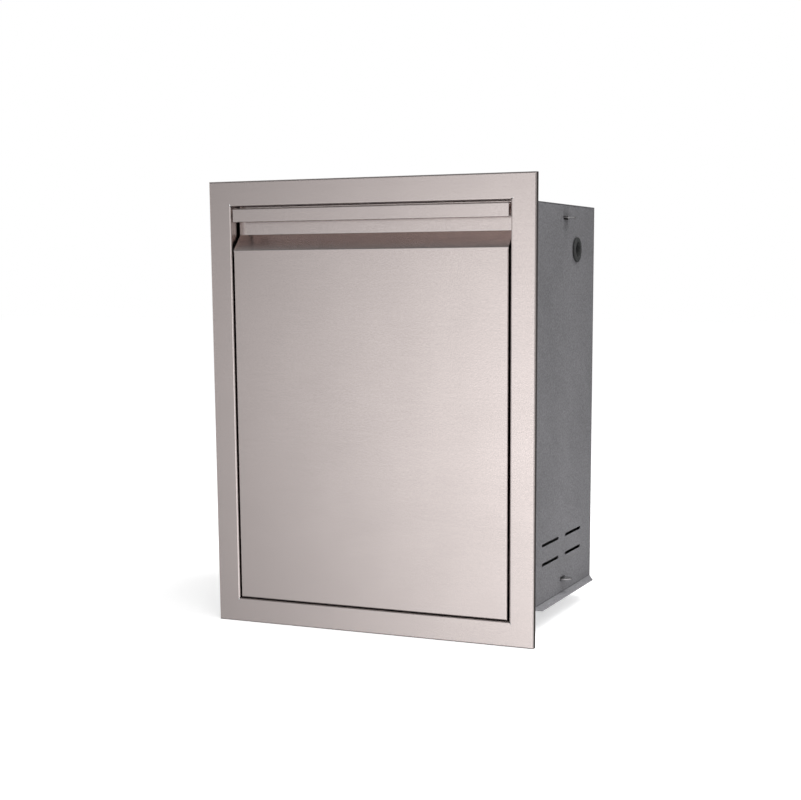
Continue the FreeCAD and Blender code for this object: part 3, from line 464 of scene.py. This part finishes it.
@dataclass(frozen=True)
class PlatedSteel:
    """Rolled or turned steel with a bright plated skin: faint lines one way and soft clouding.

    The lines are noise stretched by a length per axis, mixed with the clouds by their weights.
    """

    name: str
    colour: Triple = (0.62, 0.63, 0.64)
    roughness: float = 0.3
    roughness_swing: float = 0.06
    length: Triple = (1.2 * MM, 40 * MM, 1.2 * MM)
    cloud: float = 18 * MM
    weights: Pair = (0.5, 0.5)
    span: Pair = (0.3, 0.7)
    contrast: float = 0.07
    depth: float = 0.004 * MM

    def build(self) -> bpy.types.Material:
        """Mix lines and clouds into colour and gloss, and raise the lines.

        Returns:
            The material.
        """
        shader = Shader(self.name)
        lines = shader.noise(shader.stretched(tuple(1 / v for v in self.length)), detail=3.0)
        cloud = shader.noise(shader.place, scale=1 / self.cloud, detail=3.0)
        mixed = shader.weighted((lines, cloud), self.weights)
        shader.mottle(mixed, self.span, self.colour, self.contrast)
        ends = (self.roughness - self.roughness_swing, self.roughness + self.roughness_swing)
        shader.gloss(mixed, self.span, ends)
        shader.surface.inputs["Metallic"].default_value = 1.0
        shader.relief(lines, self.depth)
        return shader.material


@dataclass(frozen=True)
class MouldedRubber:
    """Black rubber with a dusty bloom and a fine skin, each a noise of its own size."""

    name: str
    colour: Triple = (0.03, 0.031, 0.031)
    bloom: Triple = (0.05, 0.051, 0.051)
    bloom_size: float = 4 * MM
    bloom_span: Pair = (0.4, 0.75)
    roughness: Pair = (0.67, 0.85)
    roughness_span: Pair = (0.3, 0.7)
    sheen_level: float = 0.25
    skin_size: float = 0.5 * MM
    skin_depth: float = 0.02 * MM

    def build(self) -> bpy.types.Material:
        """Lay the bloom over the black, duller where it lies, and raise the skin.

        Returns:
            The material.
        """
        shader = Shader(self.name)
        bloom = shader.noise(shader.place, scale=1 / self.bloom_size, detail=4.0, roughness=0.6)
        skin = shader.noise(shader.place, scale=1 / self.skin_size, detail=2.0)
        shader.tint(shader.remap(bloom, self.bloom_span, (0.0, 1.0)), self.colour, self.bloom)
        shader.gloss(bloom, self.roughness_span, self.roughness)
        shader.surface.inputs["Specular IOR Level"].default_value = self.sheen_level
        shader.relief(skin, self.skin_depth)
        return shader.material


# Surfaces worked out as arrays

def wound_faces(rows: int, columns: int) -> np.ndarray:
    """Four-sided faces of a grid whose columns close on themselves.

    Args:
        rows: points down the grid.
        columns: points round it.

    Returns:
        An array of corner numbers, four to a face.
    """
    row, column = np.meshgrid(np.arange(rows - 1), np.arange(columns), indexing="ij")
    beside = (column + 1) % columns
    here = row * columns
    below = here + columns
    corners = [here + column, here + beside, below + beside, below + column]
    return np.stack([c.ravel() for c in corners], axis=1)


def revolved(profile: np.ndarray, columns: int, height: Heights | None = None) -> Surface:
    """A surface of revolution about Z: (r cos t, r sin t, h), with a change of height where asked.

    Args:
        profile: rows of radius and height.
        columns: points round the axis.
        height: adds height as a function of x and y, worked out for the whole grid.

    Returns:
        The points and the faces.
    """
    angle = np.linspace(0.0, 2 * np.pi, columns, endpoint=False)
    radius, rise = profile[:, :1], profile[:, 1:2]
    x, y = radius * np.cos(angle), radius * np.sin(angle)
    z = np.broadcast_to(rise, x.shape).copy()
    if height is not None:
        z = z + height(x, y)
    points = np.stack([x, y, z], axis=-1).reshape(-1, 3)
    return points, wound_faces(len(profile), columns)


def rounded(points: np.ndarray, radius: float, steps: int = 5) -> np.ndarray:
    """Round the inner corners of a profile with quadratic curves.

    Each corner P between A and B becomes (1-t)^2 A' + 2t(1-t) P + t^2 B', where A' and B' lie at most
    radius from P and never past the middle of a side.

    Args:
        points: the profile's corners.
        radius: how far the rounding reaches along each side.
        steps: points on each rounded corner.

    Returns:
        The finer profile.
    """
    corner, before, after = points[1:-1], points[:-2], points[2:]
    back, ahead = before - corner, after - corner
    reach_back = np.minimum(radius, 0.5 * np.linalg.norm(back, axis=1))[:, None]
    reach_ahead = np.minimum(radius, 0.5 * np.linalg.norm(ahead, axis=1))[:, None]
    start = corner + back / np.linalg.norm(back, axis=1)[:, None] * reach_back
    end = corner + ahead / np.linalg.norm(ahead, axis=1)[:, None] * reach_ahead
    t = np.linspace(0.0, 1.0, steps)[None, :, None]
    curve = (1 - t) ** 2 * start[:, None] + 2 * t * (1 - t) * corner[:, None] + t ** 2 * end[:, None]
    return np.concatenate([points[:1], curve.reshape(-1, 2), points[-1:]])


def falling(value: np.ndarray, edge: float, width: float) -> np.ndarray:
    """1 well below an edge and 0 well above it: 1 / (1 + exp((value - edge) / width))."""
    return 1 / (1 + np.exp((value - edge) / width))


def placed(surface: Surface, centre: np.ndarray, direction: Triple) -> Surface:
    """Turn a surface's +Z to a direction and move it to a centre.

    Args:
        surface: points and faces round the origin.
        centre: where the origin goes.
        direction: where +Z points afterwards.

    Returns:
        The moved points and the same faces.
    """
    points, faces = surface
    turn = np.array(Vector((0, 0, 1)).rotation_difference(Vector(direction)).to_matrix())
    return points @ turn.T + np.asarray(centre, float), faces


def gathered(surfaces: list[Surface]) -> Surface:
    """Several surfaces as one.

    Args:
        surfaces: points and faces of each.

    Returns:
        All points, and all faces with their corner numbers moved on.
    """
    starts = np.cumsum([0] + [len(points) for points, _ in surfaces[:-1]])
    faces = [f + start for (_, f), start in zip(surfaces, starts)]
    return np.concatenate([points for points, _ in surfaces]), np.concatenate(faces)


# Nodes and pieces

def body_of(node: str) -> str:
    """The body that a node rides on."""
    return next(b for b, nodes in frame["record"]["behaviour"]["bodies"].items() if node in nodes)


def slot_of(node: str) -> str:
    """The material slot that a node takes its finish from."""
    return next(s["material_slot"] for s in frame["record"]["subparts"] if s["node"] == node)


def dress(material: bpy.types.Material, *nodes: str) -> None:
    """Give sheet-metal nodes a finish.

    Args:
        material: the finish.
        *nodes: the nodes' names.
    """
    for name in nodes:
        slots = frame["nodes"][name].data.materials
        slots.clear()
        slots.append(material)
        log.info("%s: %s", name, material.name)


def piece(node: str, ending: str, surface: Surface, material: bpy.types.Material) -> None:
    """Make a smooth closed mesh that stands for a plain node, on its body.

    Args:
        node: the plain node that it replaces.
        ending: what follows the node's name in the piece's own.
        surface: points and faces, in place.
        material: its finish.
    """
    name, body, slot = f"{node}_{ending}", body_of(node), slot_of(node)
    points, faces = surface
    mesh = bpy.data.meshes.new(name)
    mesh.from_pydata(points.tolist(), [], faces.tolist())
    work = bmesh.new()
    work.from_mesh(mesh)
    bmesh.ops.remove_doubles(work, verts=work.verts, dist=WELD)
    bmesh.ops.dissolve_degenerate(work, edges=work.edges, dist=SLIVER)
    bmesh.ops.recalc_face_normals(work, faces=work.faces)
    work.to_mesh(mesh)
    work.free()
    mesh.materials.append(material)
    mesh.set_sharp_from_angle(angle=CREASE)
    item = bpy.data.objects.new(name, mesh)
    bpy.context.scene.collection.objects.link(item)
    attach(item, body)
    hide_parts(node)
    log.info("%s: %d faces on %s", name, len(mesh.polygons), body)


def solids_of(node: str) -> list[tuple[np.ndarray, np.ndarray]]:
    """The lowest and highest corner of each separate solid in a node.

    Points that share a place are one point; each then takes the lowest number among its neighbours
    until nothing changes, so every solid ends with one number.

    Args:
        node: the node's name.

    Returns:
        A list of corner pairs, ordered by place.
    """
    mesh = frame["nodes"][node].data
    places = np.empty(len(mesh.vertices) * 3)
    mesh.vertices.foreach_get("co", places)
    places = places.reshape(-1, 3)
    _, same = np.unique(np.round(places, POINT_DIGITS), axis=0, return_inverse=True)
    same = same.ravel()
    corners = np.empty(len(mesh.loops), dtype=np.int64)
    mesh.loops.foreach_get("vertex_index", corners)
    triangles = same[corners].reshape(-1, 3)
    label = np.arange(same.max() + 1)
    while True:
        lowest = label[triangles].min(axis=1)
        new = label.copy()
        np.minimum.at(new, triangles, lowest[:, None])
        if np.array_equal(new, label):
            break
        label = new
    of_point = label[same]
    found = [places[of_point == k] for k in np.unique(of_point)]
    boxes = [(p.min(axis=0), p.max(axis=0)) for p in found]
    return sorted(boxes, key=lambda b: tuple(np.round(b[0], ORDER_DIGITS)))


# Sub-assemblies

@dataclass
class FaceAndFront:
    """The folded face frame and the drawer's one-piece front with its finger grip."""

    frame_finish: BrushedSteel = BrushedSteel("face_frame_steel")
    front_finish: BrushedSteel = BrushedSteel("drawer_front_steel")
    inner_finish: BrushedSteel = BrushedSteel("inner_pan_steel", colour=(0.58, 0.57, 0.56), roughness=0.4,
                                              contrast=0.07, grain=Grain.ALONG_Z)

    def build(self) -> None:
        """Dress the frame, the skin and what lies behind it."""
        dress(self.frame_finish.build(), "face_frame")
        dress(self.front_finish.build(), "drawer_front_skin")
        dress(self.inner_finish.build(), "drawer_front_liner", "front_stiffeners")


@dataclass
class Cabinet:
    """The vented grey box, its ears, grommets and buffers.

    groove_sides are how far the grommet's groove starts and stops from its inner face, and rim_step is
    how far from the rim its outer face starts to fall away and has fallen by one bead. A buffer's waist
    is three places along its head, as shares of the head's length. Its nose is how far the chamfer
    reaches inwards and along it.
    """

    coat: CoatedSheet = CoatedSheet("cabinet_grey_coat")
    # The floor's coat is the box's own grey painted lighter: painted light for the light from above on
    # its up-facing foot flange
    painted_light_floor_coat: CoatedSheet = CoatedSheet("cabinet_floor_painted_light_coat", colour=(0.26, 0.257, 0.27))
    ear_finish: PlatedSteel = PlatedSteel("ear_steel", colour=(0.5, 0.49, 0.49),
                                          length=(8 * MM, 1 * MM, 1 * MM))
    rubber: MouldedRubber = MouldedRubber("black_rubber")
    columns: int = 56
    bore: float = 11.5 * MM
    groove: float = 14.95 * MM
    groove_sides: Pair = (2.5 * MM, 3.5 * MM)
    rim_step: Pair = (3.4 * MM, 2.6 * MM)
    bead: float = 0.35 * MM
    grommet_round: float = 1.2 * MM
    stem: float = 3 * MM
    stem_length: float = 2 * MM
    waist: Triple = (0.3, 0.38, 0.46)
    waist_depth: float = 0.5 * MM
    nose: Pair = (2.2 * MM, 1.4 * MM)
    buffer_round: float = 0.9 * MM

    def build(self) -> None:
        """Dress the sheets and make the rubber parts."""
        dress(self.painted_light_floor_coat.build(), "cabinet_floor")
        dress(self.coat.build(), "cabinet_left_side", "cabinet_right_side", "cabinet_top", "cabinet_back",
              "left_slide_rail", "right_slide_rail")
        dress(self.ear_finish.build(), "mounting_ears")
        rubber = self.rubber.build()
        for node in ("left_hose_grommet", "right_hose_grommet"):
            self.grommet(node, rubber)
        self.buffers("rear_bumpers", rubber)

    def grommet(self, node: str, rubber: bpy.types.Material) -> None:
        """A moulded ring that fills the same space as the plain one.

        Its profile runs bore, outer lip, groove on the sheet and inner lip, with every corner rounded
        and a thin step down near the rim of the outer face.

        Args:
            node: the plain ring.
            rubber: its material.
        """
        low, high = (np.array(v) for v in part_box(node))
        side = 1.0 if low[0] > 0 else -1.0
        lip = (high[2] - low[2]) / 2
        outer = max(abs(low[0]), abs(high[0]))
        inner = min(abs(low[0]), abs(high[0]))
        middle = (inner + outer) / 2
        sheet_in, sheet_out = (inner + reach for reach in self.groove_sides)
        flat, fallen = (lip - reach for reach in self.rim_step)
        corners = np.array([
            (self.bore, middle), (self.bore, outer), (flat, outer), (fallen, outer - self.bead),
            (lip, outer - 2 * self.bead), (lip, sheet_out), (self.groove, sheet_out),
            (self.groove, sheet_in), (lip, sheet_in), (lip, inner), (self.bore, inner),
            (self.bore, middle)])
        corners[:, 1] -= middle
        profile = rounded(corners, self.grommet_round)
        ring = placed(revolved(profile, self.columns), (low + high) / 2, (side, 0, 0))
        piece(node, "moulded", ring, rubber)

    def buffers(self, node: str, rubber: bpy.types.Material) -> None:
        """Round buffers on short stems, with a shallow waist and a rounded nose.

        Args:
            node: the plain buffers.
            rubber: their material.
        """
        made = []
        for low, high in solids_of(node):
            centre = (low + high) / 2
            radius, length = (high[2] - low[2]) / 2, high[1] - low[1]
            head = length - self.stem_length
            start, neck, stop = (self.stem_length + head * share for share in self.waist)
            corners = np.array([
                (0, 0), (self.stem, 0), (self.stem, self.stem_length), (radius, self.stem_length),
                (radius, start), (radius - self.waist_depth, neck), (radius, stop),
                (radius, length - self.nose[1]), (radius - self.nose[0], length), (0, length)])
            turned = revolved(rounded(corners, self.buffer_round), self.columns)
            made.append(placed(turned, (centre[0], high[1], centre[2]), (0, -1, 0)))
        piece(node, "moulded", gathered(made), rubber)


@dataclass
class Slides:
    """Both telescopic slides: members, cages and bearing balls."""

    member_finish: PlatedSteel = PlatedSteel("slide_zinc")
    cage_finish: PlatedSteel = PlatedSteel("cage_strip", colour=(0.5, 0.5, 0.48), roughness=0.36)
    ball_finish: PlatedSteel = PlatedSteel("ball_steel", colour=(0.78, 0.78, 0.8), roughness=0.14,
                                           contrast=0.02, depth=0.0005 * MM)
    ball_columns: int = 20
    ball_rows: int = 13

    def build(self) -> None:
        """Dress the members and cages and make round balls."""
        zinc = self.member_finish.build()
        strip = self.cage_finish.build()
        bright = self.ball_finish.build()
        for side in ("left", "right"):
            dress(zinc, *(f"{side}_slide_{member}" for member in ("outer", "middle", "inner")))
            dress(strip, f"{side}_outer_cage", f"{side}_inner_cage")
            for race in ("outer", "inner"):
                self.balls(f"{side}_{race}_balls", bright)

    def balls(self, node: str, bright: bpy.types.Material) -> None:
        """Spheres: radius sin a round the axis at height -radius cos a.

        Args:
            node: the plain balls.
            bright: their material.
        """
        angle = np.linspace(0.0, np.pi, self.ball_rows)
        made = []
        for low, high in solids_of(node):
            radius = (high[0] - low[0]) / 2
            profile = np.stack([radius * np.sin(angle), -radius * np.cos(angle)], axis=1)
            made.append(placed(revolved(profile, self.ball_columns), (low + high) / 2, (0, 0, 1)))
        piece(node, "round", gathered(made), bright)


@dataclass
class Carriage:
    """The low tray that carries a gas bottle, and the gussets that hold the tall front."""

    finish: BrushedSteel = BrushedSteel("carriage_steel", colour=(0.6, 0.585, 0.575), roughness=0.38,
                                        contrast=0.07, grain=Grain.ALONG_Y)
    back_finish: BrushedSteel = BrushedSteel("carriage_back_steel", colour=(0.6, 0.585, 0.575),
                                             roughness=0.38, contrast=0.07)

    def build(self) -> None:
        """Dress the sheets."""
        dress(self.finish.build(), "tray_base", "tray_left_side", "tray_right_side", "left_front_brace",
              "right_front_brace")
        dress(self.back_finish.build(), "tray_back")


class Drive(enum.Enum):
    """What is formed in the top of a fastener's head."""

    CROSS = "cross"
    MANDREL = "mandrel"


@dataclass(frozen=True)
class HeadStyle:
    """A fastener: how it faces, its head's height, its shank's radius and what is formed in its top.

    well, slot and slot_end are pairs of an edge and how soft it is, as shares of the head's radius.
    """

    node: str
    drive: Drive
    facing: Facing
    height: float
    shank: float
    columns: int = 48
    rings: int = 22
    rim_share: float = 0.22
    dome_power: float = 2.4
    tip_share: float = 0.8
    tip_chamfer: float = 0.4 * MM
    cut_share: float = 0.62
    well: Pair = (0.34, 0.03)
    slot: Pair = (0.1, 0.016)
    slot_end: Pair = (0.56, 0.022)
    slot_rise: float = 0.75

    def cut(self, radius: float, x: np.ndarray, y: np.ndarray) -> np.ndarray:
        """How far the head's top is sunk, over a grid.

        A cross is two slots, each a smooth step in the distance from its own axis, both fading out
        towards the head's rim. A rivet has a round well where its mandrel broke off.

        Args:
            radius: the head's radius.
            x: the grid's places along one slot.
            y: the grid's places along the other.

        Returns:
            The change of height.
        """
        depth = self.cut_share * self.height
        reach = np.hypot(x, y) / radius
        if self.drive is Drive.MANDREL:
            return -depth * falling(reach, *self.well)
        aside = np.minimum(np.abs(x), np.abs(y)) / radius
        wall, fade = falling(aside, *self.slot), falling(reach, *self.slot_end)
        return -depth * wall * fade * (1.0 - self.slot_rise * reach)

    def head(self, radius: float, length: float) -> Surface:
        """One fastener along +Z: a dome z = e + (h - e) (1 - (r/R)^p) over a rim e, on a plain shank.

        Args:
            radius: the head's radius.
            length: the shank's length.

        Returns:
            The points and the faces.
        """
        dome_r = radius * (1 - np.linspace(0.0, 1.0, self.rings))
        rim = self.rim_share * self.height
        dome_z = rim + (self.height - rim) * (1 - (dome_r / radius) ** self.dome_power)
        under = np.array([
            (0.0, -length), (self.shank * self.tip_share, -length),
            (self.shank, -length + self.tip_chamfer), (self.shank, 0.0), (radius, 0.0)])
        lower = revolved(under, self.columns)
        upper = revolved(np.stack([dome_r, dome_z], axis=1), self.columns, partial(self.cut, radius))
        return gathered([lower, upper])

    def build(self, material: bpy.types.Material) -> None:
        """Make every fastener of the node and let the group stand for it.

        Args:
            material: their finish.
        """
        made = []
        for low, high in solids_of(self.node):
            direction = np.array(self.facing(low, high), float)
            axis = int(np.argmax(np.abs(direction)))
            across = next(k for k in range(3) if k != axis)
            radius = float((high[across] - low[across]) / 2)
            length = float(high[axis] - low[axis])
            seat = (low + high) / 2
            tip = high[axis] if direction[axis] > 0 else low[axis]
            seat[axis] = tip - direction[axis] * self.height
            made.append(placed(self.head(radius, length - self.height), seat, tuple(direction)))
        piece(self.node, "formed", gathered(made), material)


def long_way(low: np.ndarray, high: np.ndarray) -> int:
    """The axis that a fastener lies along: the one whose two other sides are alike."""
    size = high - low
    return int(np.argmin([abs(size[1] - size[2]), abs(size[0] - size[2]), abs(size[0] - size[1])]))


def inward(low: np.ndarray, high: np.ndarray) -> Triple:
    """Towards the unit's centre plane."""
    return (-1.0, 0.0, 0.0) if low[0] + high[0] > 0 else (1.0, 0.0, 0.0)


def to_the_back(low: np.ndarray, high: np.ndarray) -> Triple:
    """Back, wherever the fastener lies."""
    return (0.0, 1.0, 0.0)


def outward_of_box(low: np.ndarray, high: np.ndarray) -> Triple:
    """Up out of the top sheet, or back out of the rear panel."""
    return (0.0, 0.0, 1.0) if long_way(low, high) == 2 else (0.0, 1.0, 0.0)


def inward_of_tray(low: np.ndarray, high: np.ndarray) -> Triple:
    """In from a side, or forwards from the rear panel."""
    return inward(low, high) if long_way(low, high) == 0 else (0.0, -1.0, 0.0)


@dataclass
class Fasteners:
    """Screws with a cross recess and blind rivets with their broken mandrels."""

    finish: PlatedSteel = PlatedSteel("fastener_steel", colour=(0.6, 0.6, 0.6), length=(2 * MM,) * 3)
    styles: tuple[HeadStyle, ...] = (
        HeadStyle("cabinet_rivets", Drive.MANDREL, outward_of_box, height=1.0 * MM, shank=1.6 * MM),
        HeadStyle("tray_rivets", Drive.MANDREL, inward_of_tray, height=1.0 * MM, shank=1.6 * MM),
        HeadStyle("front_screws", Drive.CROSS, to_the_back, height=2.2 * MM, shank=2.0 * MM),
        HeadStyle("carriage_slide_screws", Drive.CROSS, inward, height=2.2 * MM, shank=2.0 * MM),
        HeadStyle("rail_screws", Drive.CROSS, inward, height=0.9 * MM, shank=2.0 * MM),
    )

    def build(self) -> None:
        """Make each group of fasteners."""
        steel = self.finish.build()
        for style in self.styles:
            style.build(steel)


# Studio

@dataclass(frozen=True)
class Lamp:
    """A soft square lamp that looks at a point, unseen by the camera and by polished steel."""

    name: str
    place: Triple
    aim: Triple
    size: float
    power: float

    def build(self) -> None:
        """Hang the lamp and turn it to its aim."""
        data = bpy.data.lights.new(self.name, "AREA")
        data.shape = "SQUARE"
        data.size = self.size
        data.energy = self.power
        lamp = bpy.data.objects.new(self.name, data)
        bpy.context.scene.collection.objects.link(lamp)
        lamp.location = self.place
        lamp.visible_camera = False
        lamp.visible_glossy = False
        lamp.rotation_euler = (Vector(self.aim) - Vector(self.place)).to_track_quat("-Z", "Y").to_euler()


@dataclass
class Studio:
    """Camera, pale floor, open white surroundings and soft lamps.

    What polished steel mirrors is graded by direction: light = max(S(t) max(B(h), G(z)), L(t)) U(z) R(y),
    where each letter is a smooth step, t is the direction's share along the bright axis, and h is how far
    it lies from a band that leans down to the right. S climbs from dim to bright and falls again on the
    far right, B falls away from the band, G is the near ground, L keeps the far left plain, and U and R
    dim what lies underfoot and behind the object.
    """

    camera_place: Triple = (0.965, -2.041, 0.50175)
    camera_aim: Triple = (0.0693, -0.009, 0.14415)
    roll: float = -0.34
    lens: float = 68.71
    sensor: float = 36.0
    shift: Pair = (-0.01311, 0.14856)
    farthest: float = 60.0
    floor_z: float = -0.0348
    floor_half: float = 14.0
    floor_white: float = 0.9
    floor_lift: float = 0.45
    level: float = 0.62
    bright_axis: Triple = (0.906, -0.423, 0.0)
    dim: float = 0.48
    bright: float = 1.84
    edge: Pair = (-0.16, 0.18)
    right: float = 0.58
    right_edge: Pair = (0.4, 0.75)
    left: float = 0.8
    left_edge: Pair = (-0.6, -0.3)
    band_up: Triple = (0.15, -0.07, 1.0)
    band_height: float = -0.09
    band_edge: Pair = (0.0, 0.28)
    above_band: float = 0.3
    ground: float = 1.0
    ground_edge: Pair = (-0.45, -0.28)
    underfoot: float = 0.2
    underfoot_edge: Pair = (-0.85, -0.62)
    behind: float = 0.12
    behind_edge: Pair = (0.2, 0.6)
    lamps: tuple[Lamp, ...] = (
        Lamp("key", place=(2.1, -2.3, 2.3), aim=(0.0, 0.1, 0.2), size=1.6, power=34.0),
        Lamp("top", place=(1.4, 0.3, 2.9), aim=(0.3, 0.2, 0.1), size=1.6, power=52.0),
        Lamp("low", place=(0.62, 0.25, 0.08), aim=(0.24, 0.2, -0.02), size=0.25, power=0.65),
    )

    def build(self) -> None:
        """Set the stage."""
        self.place_camera()
        self.light_world()
        self.lay_floor()
        for lamp in self.lamps:
            lamp.build()
        bpy.context.scene.view_settings.view_transform = "Standard"

    def place_camera(self) -> None:
        """Stand the camera where the photograph was taken, level but for a slight roll."""
        data = bpy.data.cameras.new("camera")
        data.lens = self.lens
        data.sensor_width = self.sensor
        data.shift_x, data.shift_y = self.shift
        data.clip_end = self.farthest
        camera = bpy.data.objects.new("camera", data)
        bpy.context.scene.collection.objects.link(camera)
        place = Vector(self.camera_place)
        back = (place - Vector(self.camera_aim)).normalized()
        right = Vector((0, 0, 1)).cross(back).normalized()
        up = back.cross(right)
        turn = math.radians(self.roll)
        side = right * math.cos(turn) + up * math.sin(turn)
        rise = up * math.cos(turn) - right * math.sin(turn)
        camera.matrix_world = Matrix.Translation(place) @ Matrix((side, rise, back)).transposed().to_4x4()
        bpy.context.scene.camera = camera

    def light_world(self) -> None:
        """Surroundings: plain light on the object, white to the eye, and the grade to polished steel."""
        world = bpy.data.worlds.new("surroundings")
        bpy.context.scene.world = world
        world.use_nodes = True
        graph = Graph(world.node_tree)
        path = graph.add("ShaderNodeLightPath")
        shown = graph.blend(path.outputs["Is Glossy Ray"], 1.0, self.grade(graph))
        backgrounds = []
        for strength in (self.level, shown):
            background = graph.add("ShaderNodeBackground")
            background.inputs["Color"].default_value = (1.0, 1.0, 1.0, 1.0)
            graph.feed(strength, background.inputs["Strength"])
            backgrounds.append(background.outputs[0])
        output = graph.add("ShaderNodeOutputWorld")
        graph.wire(graph.choose(graph.seen(path), *backgrounds), output.inputs["Surface"])

    def grade(self, graph: Graph) -> Socket:
        """What polished steel mirrors in each direction, by the class's formula.

        Args:
            graph: the world's graph.

        Returns:
            The strength of the light.
        """
        way = graph.add("ShaderNodeTexCoord").outputs["Generated"]
        parts = graph.add("ShaderNodeSeparateXYZ")
        graph.wire(way, parts.inputs[0])
        backward, upward = parts.outputs["Y"], parts.outputs["Z"]
        along = graph.share_along(way, self.bright_axis)
        lean = graph.share_along(way, self.band_up)
        off_band = graph.math("ABSOLUTE", graph.math("SUBTRACT", lean, self.band_height))
        climb = graph.step(along, self.edge, (self.dim, self.bright))
        sideways = graph.math("MULTIPLY", climb, graph.step(along, self.right_edge, (1.0, self.right)))
        band = graph.step(off_band, self.band_edge, (1.0, self.above_band))
        upright = graph.math("MAXIMUM", band, graph.step(upward, self.ground_edge, (self.ground, 0.0)))
        light = graph.math("MULTIPLY", sideways, upright)
        light = graph.math("MAXIMUM", light, graph.step(along, self.left_edge, (self.left, 0.0)))
        underfoot = graph.step(upward, self.underfoot_edge, (self.underfoot, 1.0))
        light = graph.math("MULTIPLY", light, underfoot)
        return graph.math("MULTIPLY", light, graph.step(backward, self.behind_edge, (1.0, self.behind)))

    def lay_floor(self) -> None:
        """A wide square floor under the feet."""
        half = self.floor_half
        mesh = bpy.data.meshes.new("floor")
        corners = [(x * half, y * half, self.floor_z) for x, y in ((-1, -1), (1, -1), (1, 1), (-1, 1))]
        mesh.from_pydata(corners, [], [(0, 1, 2, 3)])
        mesh.materials.append(self.floor_paint())
        floor = bpy.data.objects.new("floor", mesh)
        bpy.context.scene.collection.objects.link(floor)

    def floor_paint(self) -> bpy.types.Material:
        """White that keeps the shadow, lifted to the eye, and clear to polished steel.

        Returns:
            The material.
        """
        material = bpy.data.materials.new("floor_white")
        material.use_nodes = True
        graph = Graph(material.node_tree)
        path = graph.add("ShaderNodeLightPath")
        paint = graph.add("ShaderNodeBsdfDiffuse")
        paint.inputs["Color"].default_value = (self.floor_white, self.floor_white, self.floor_white, 1.0)
        lift = graph.add("ShaderNodeEmission")
        graph.wire(graph.math("MULTIPLY", graph.seen(path), self.floor_lift), lift.inputs["Strength"])
        both = graph.add("ShaderNodeAddShader")
        graph.wire(paint.outputs[0], both.inputs[0])
        graph.wire(lift.outputs[0], both.inputs[1])
        clear = graph.add("ShaderNodeBsdfTransparent")
        output = graph.add("ShaderNodeOutputMaterial")
        mixed = graph.choose(path.outputs["Is Glossy Ray"], both.outputs[0], clear.outputs[0])
        graph.wire(mixed, output.inputs["Surface"])
        return material


def main() -> None:
    """Build the sub-assemblies in order, then the studio."""
    logging.basicConfig(level=logging.INFO, format="%(message)s")
    for part in (FaceAndFront(), Cabinet(), Slides(), Carriage(), Fasteners(), Studio()):
        log.info("building %s", type(part).__name__)
        part.build()


if __name__ == "__main__":
    main()
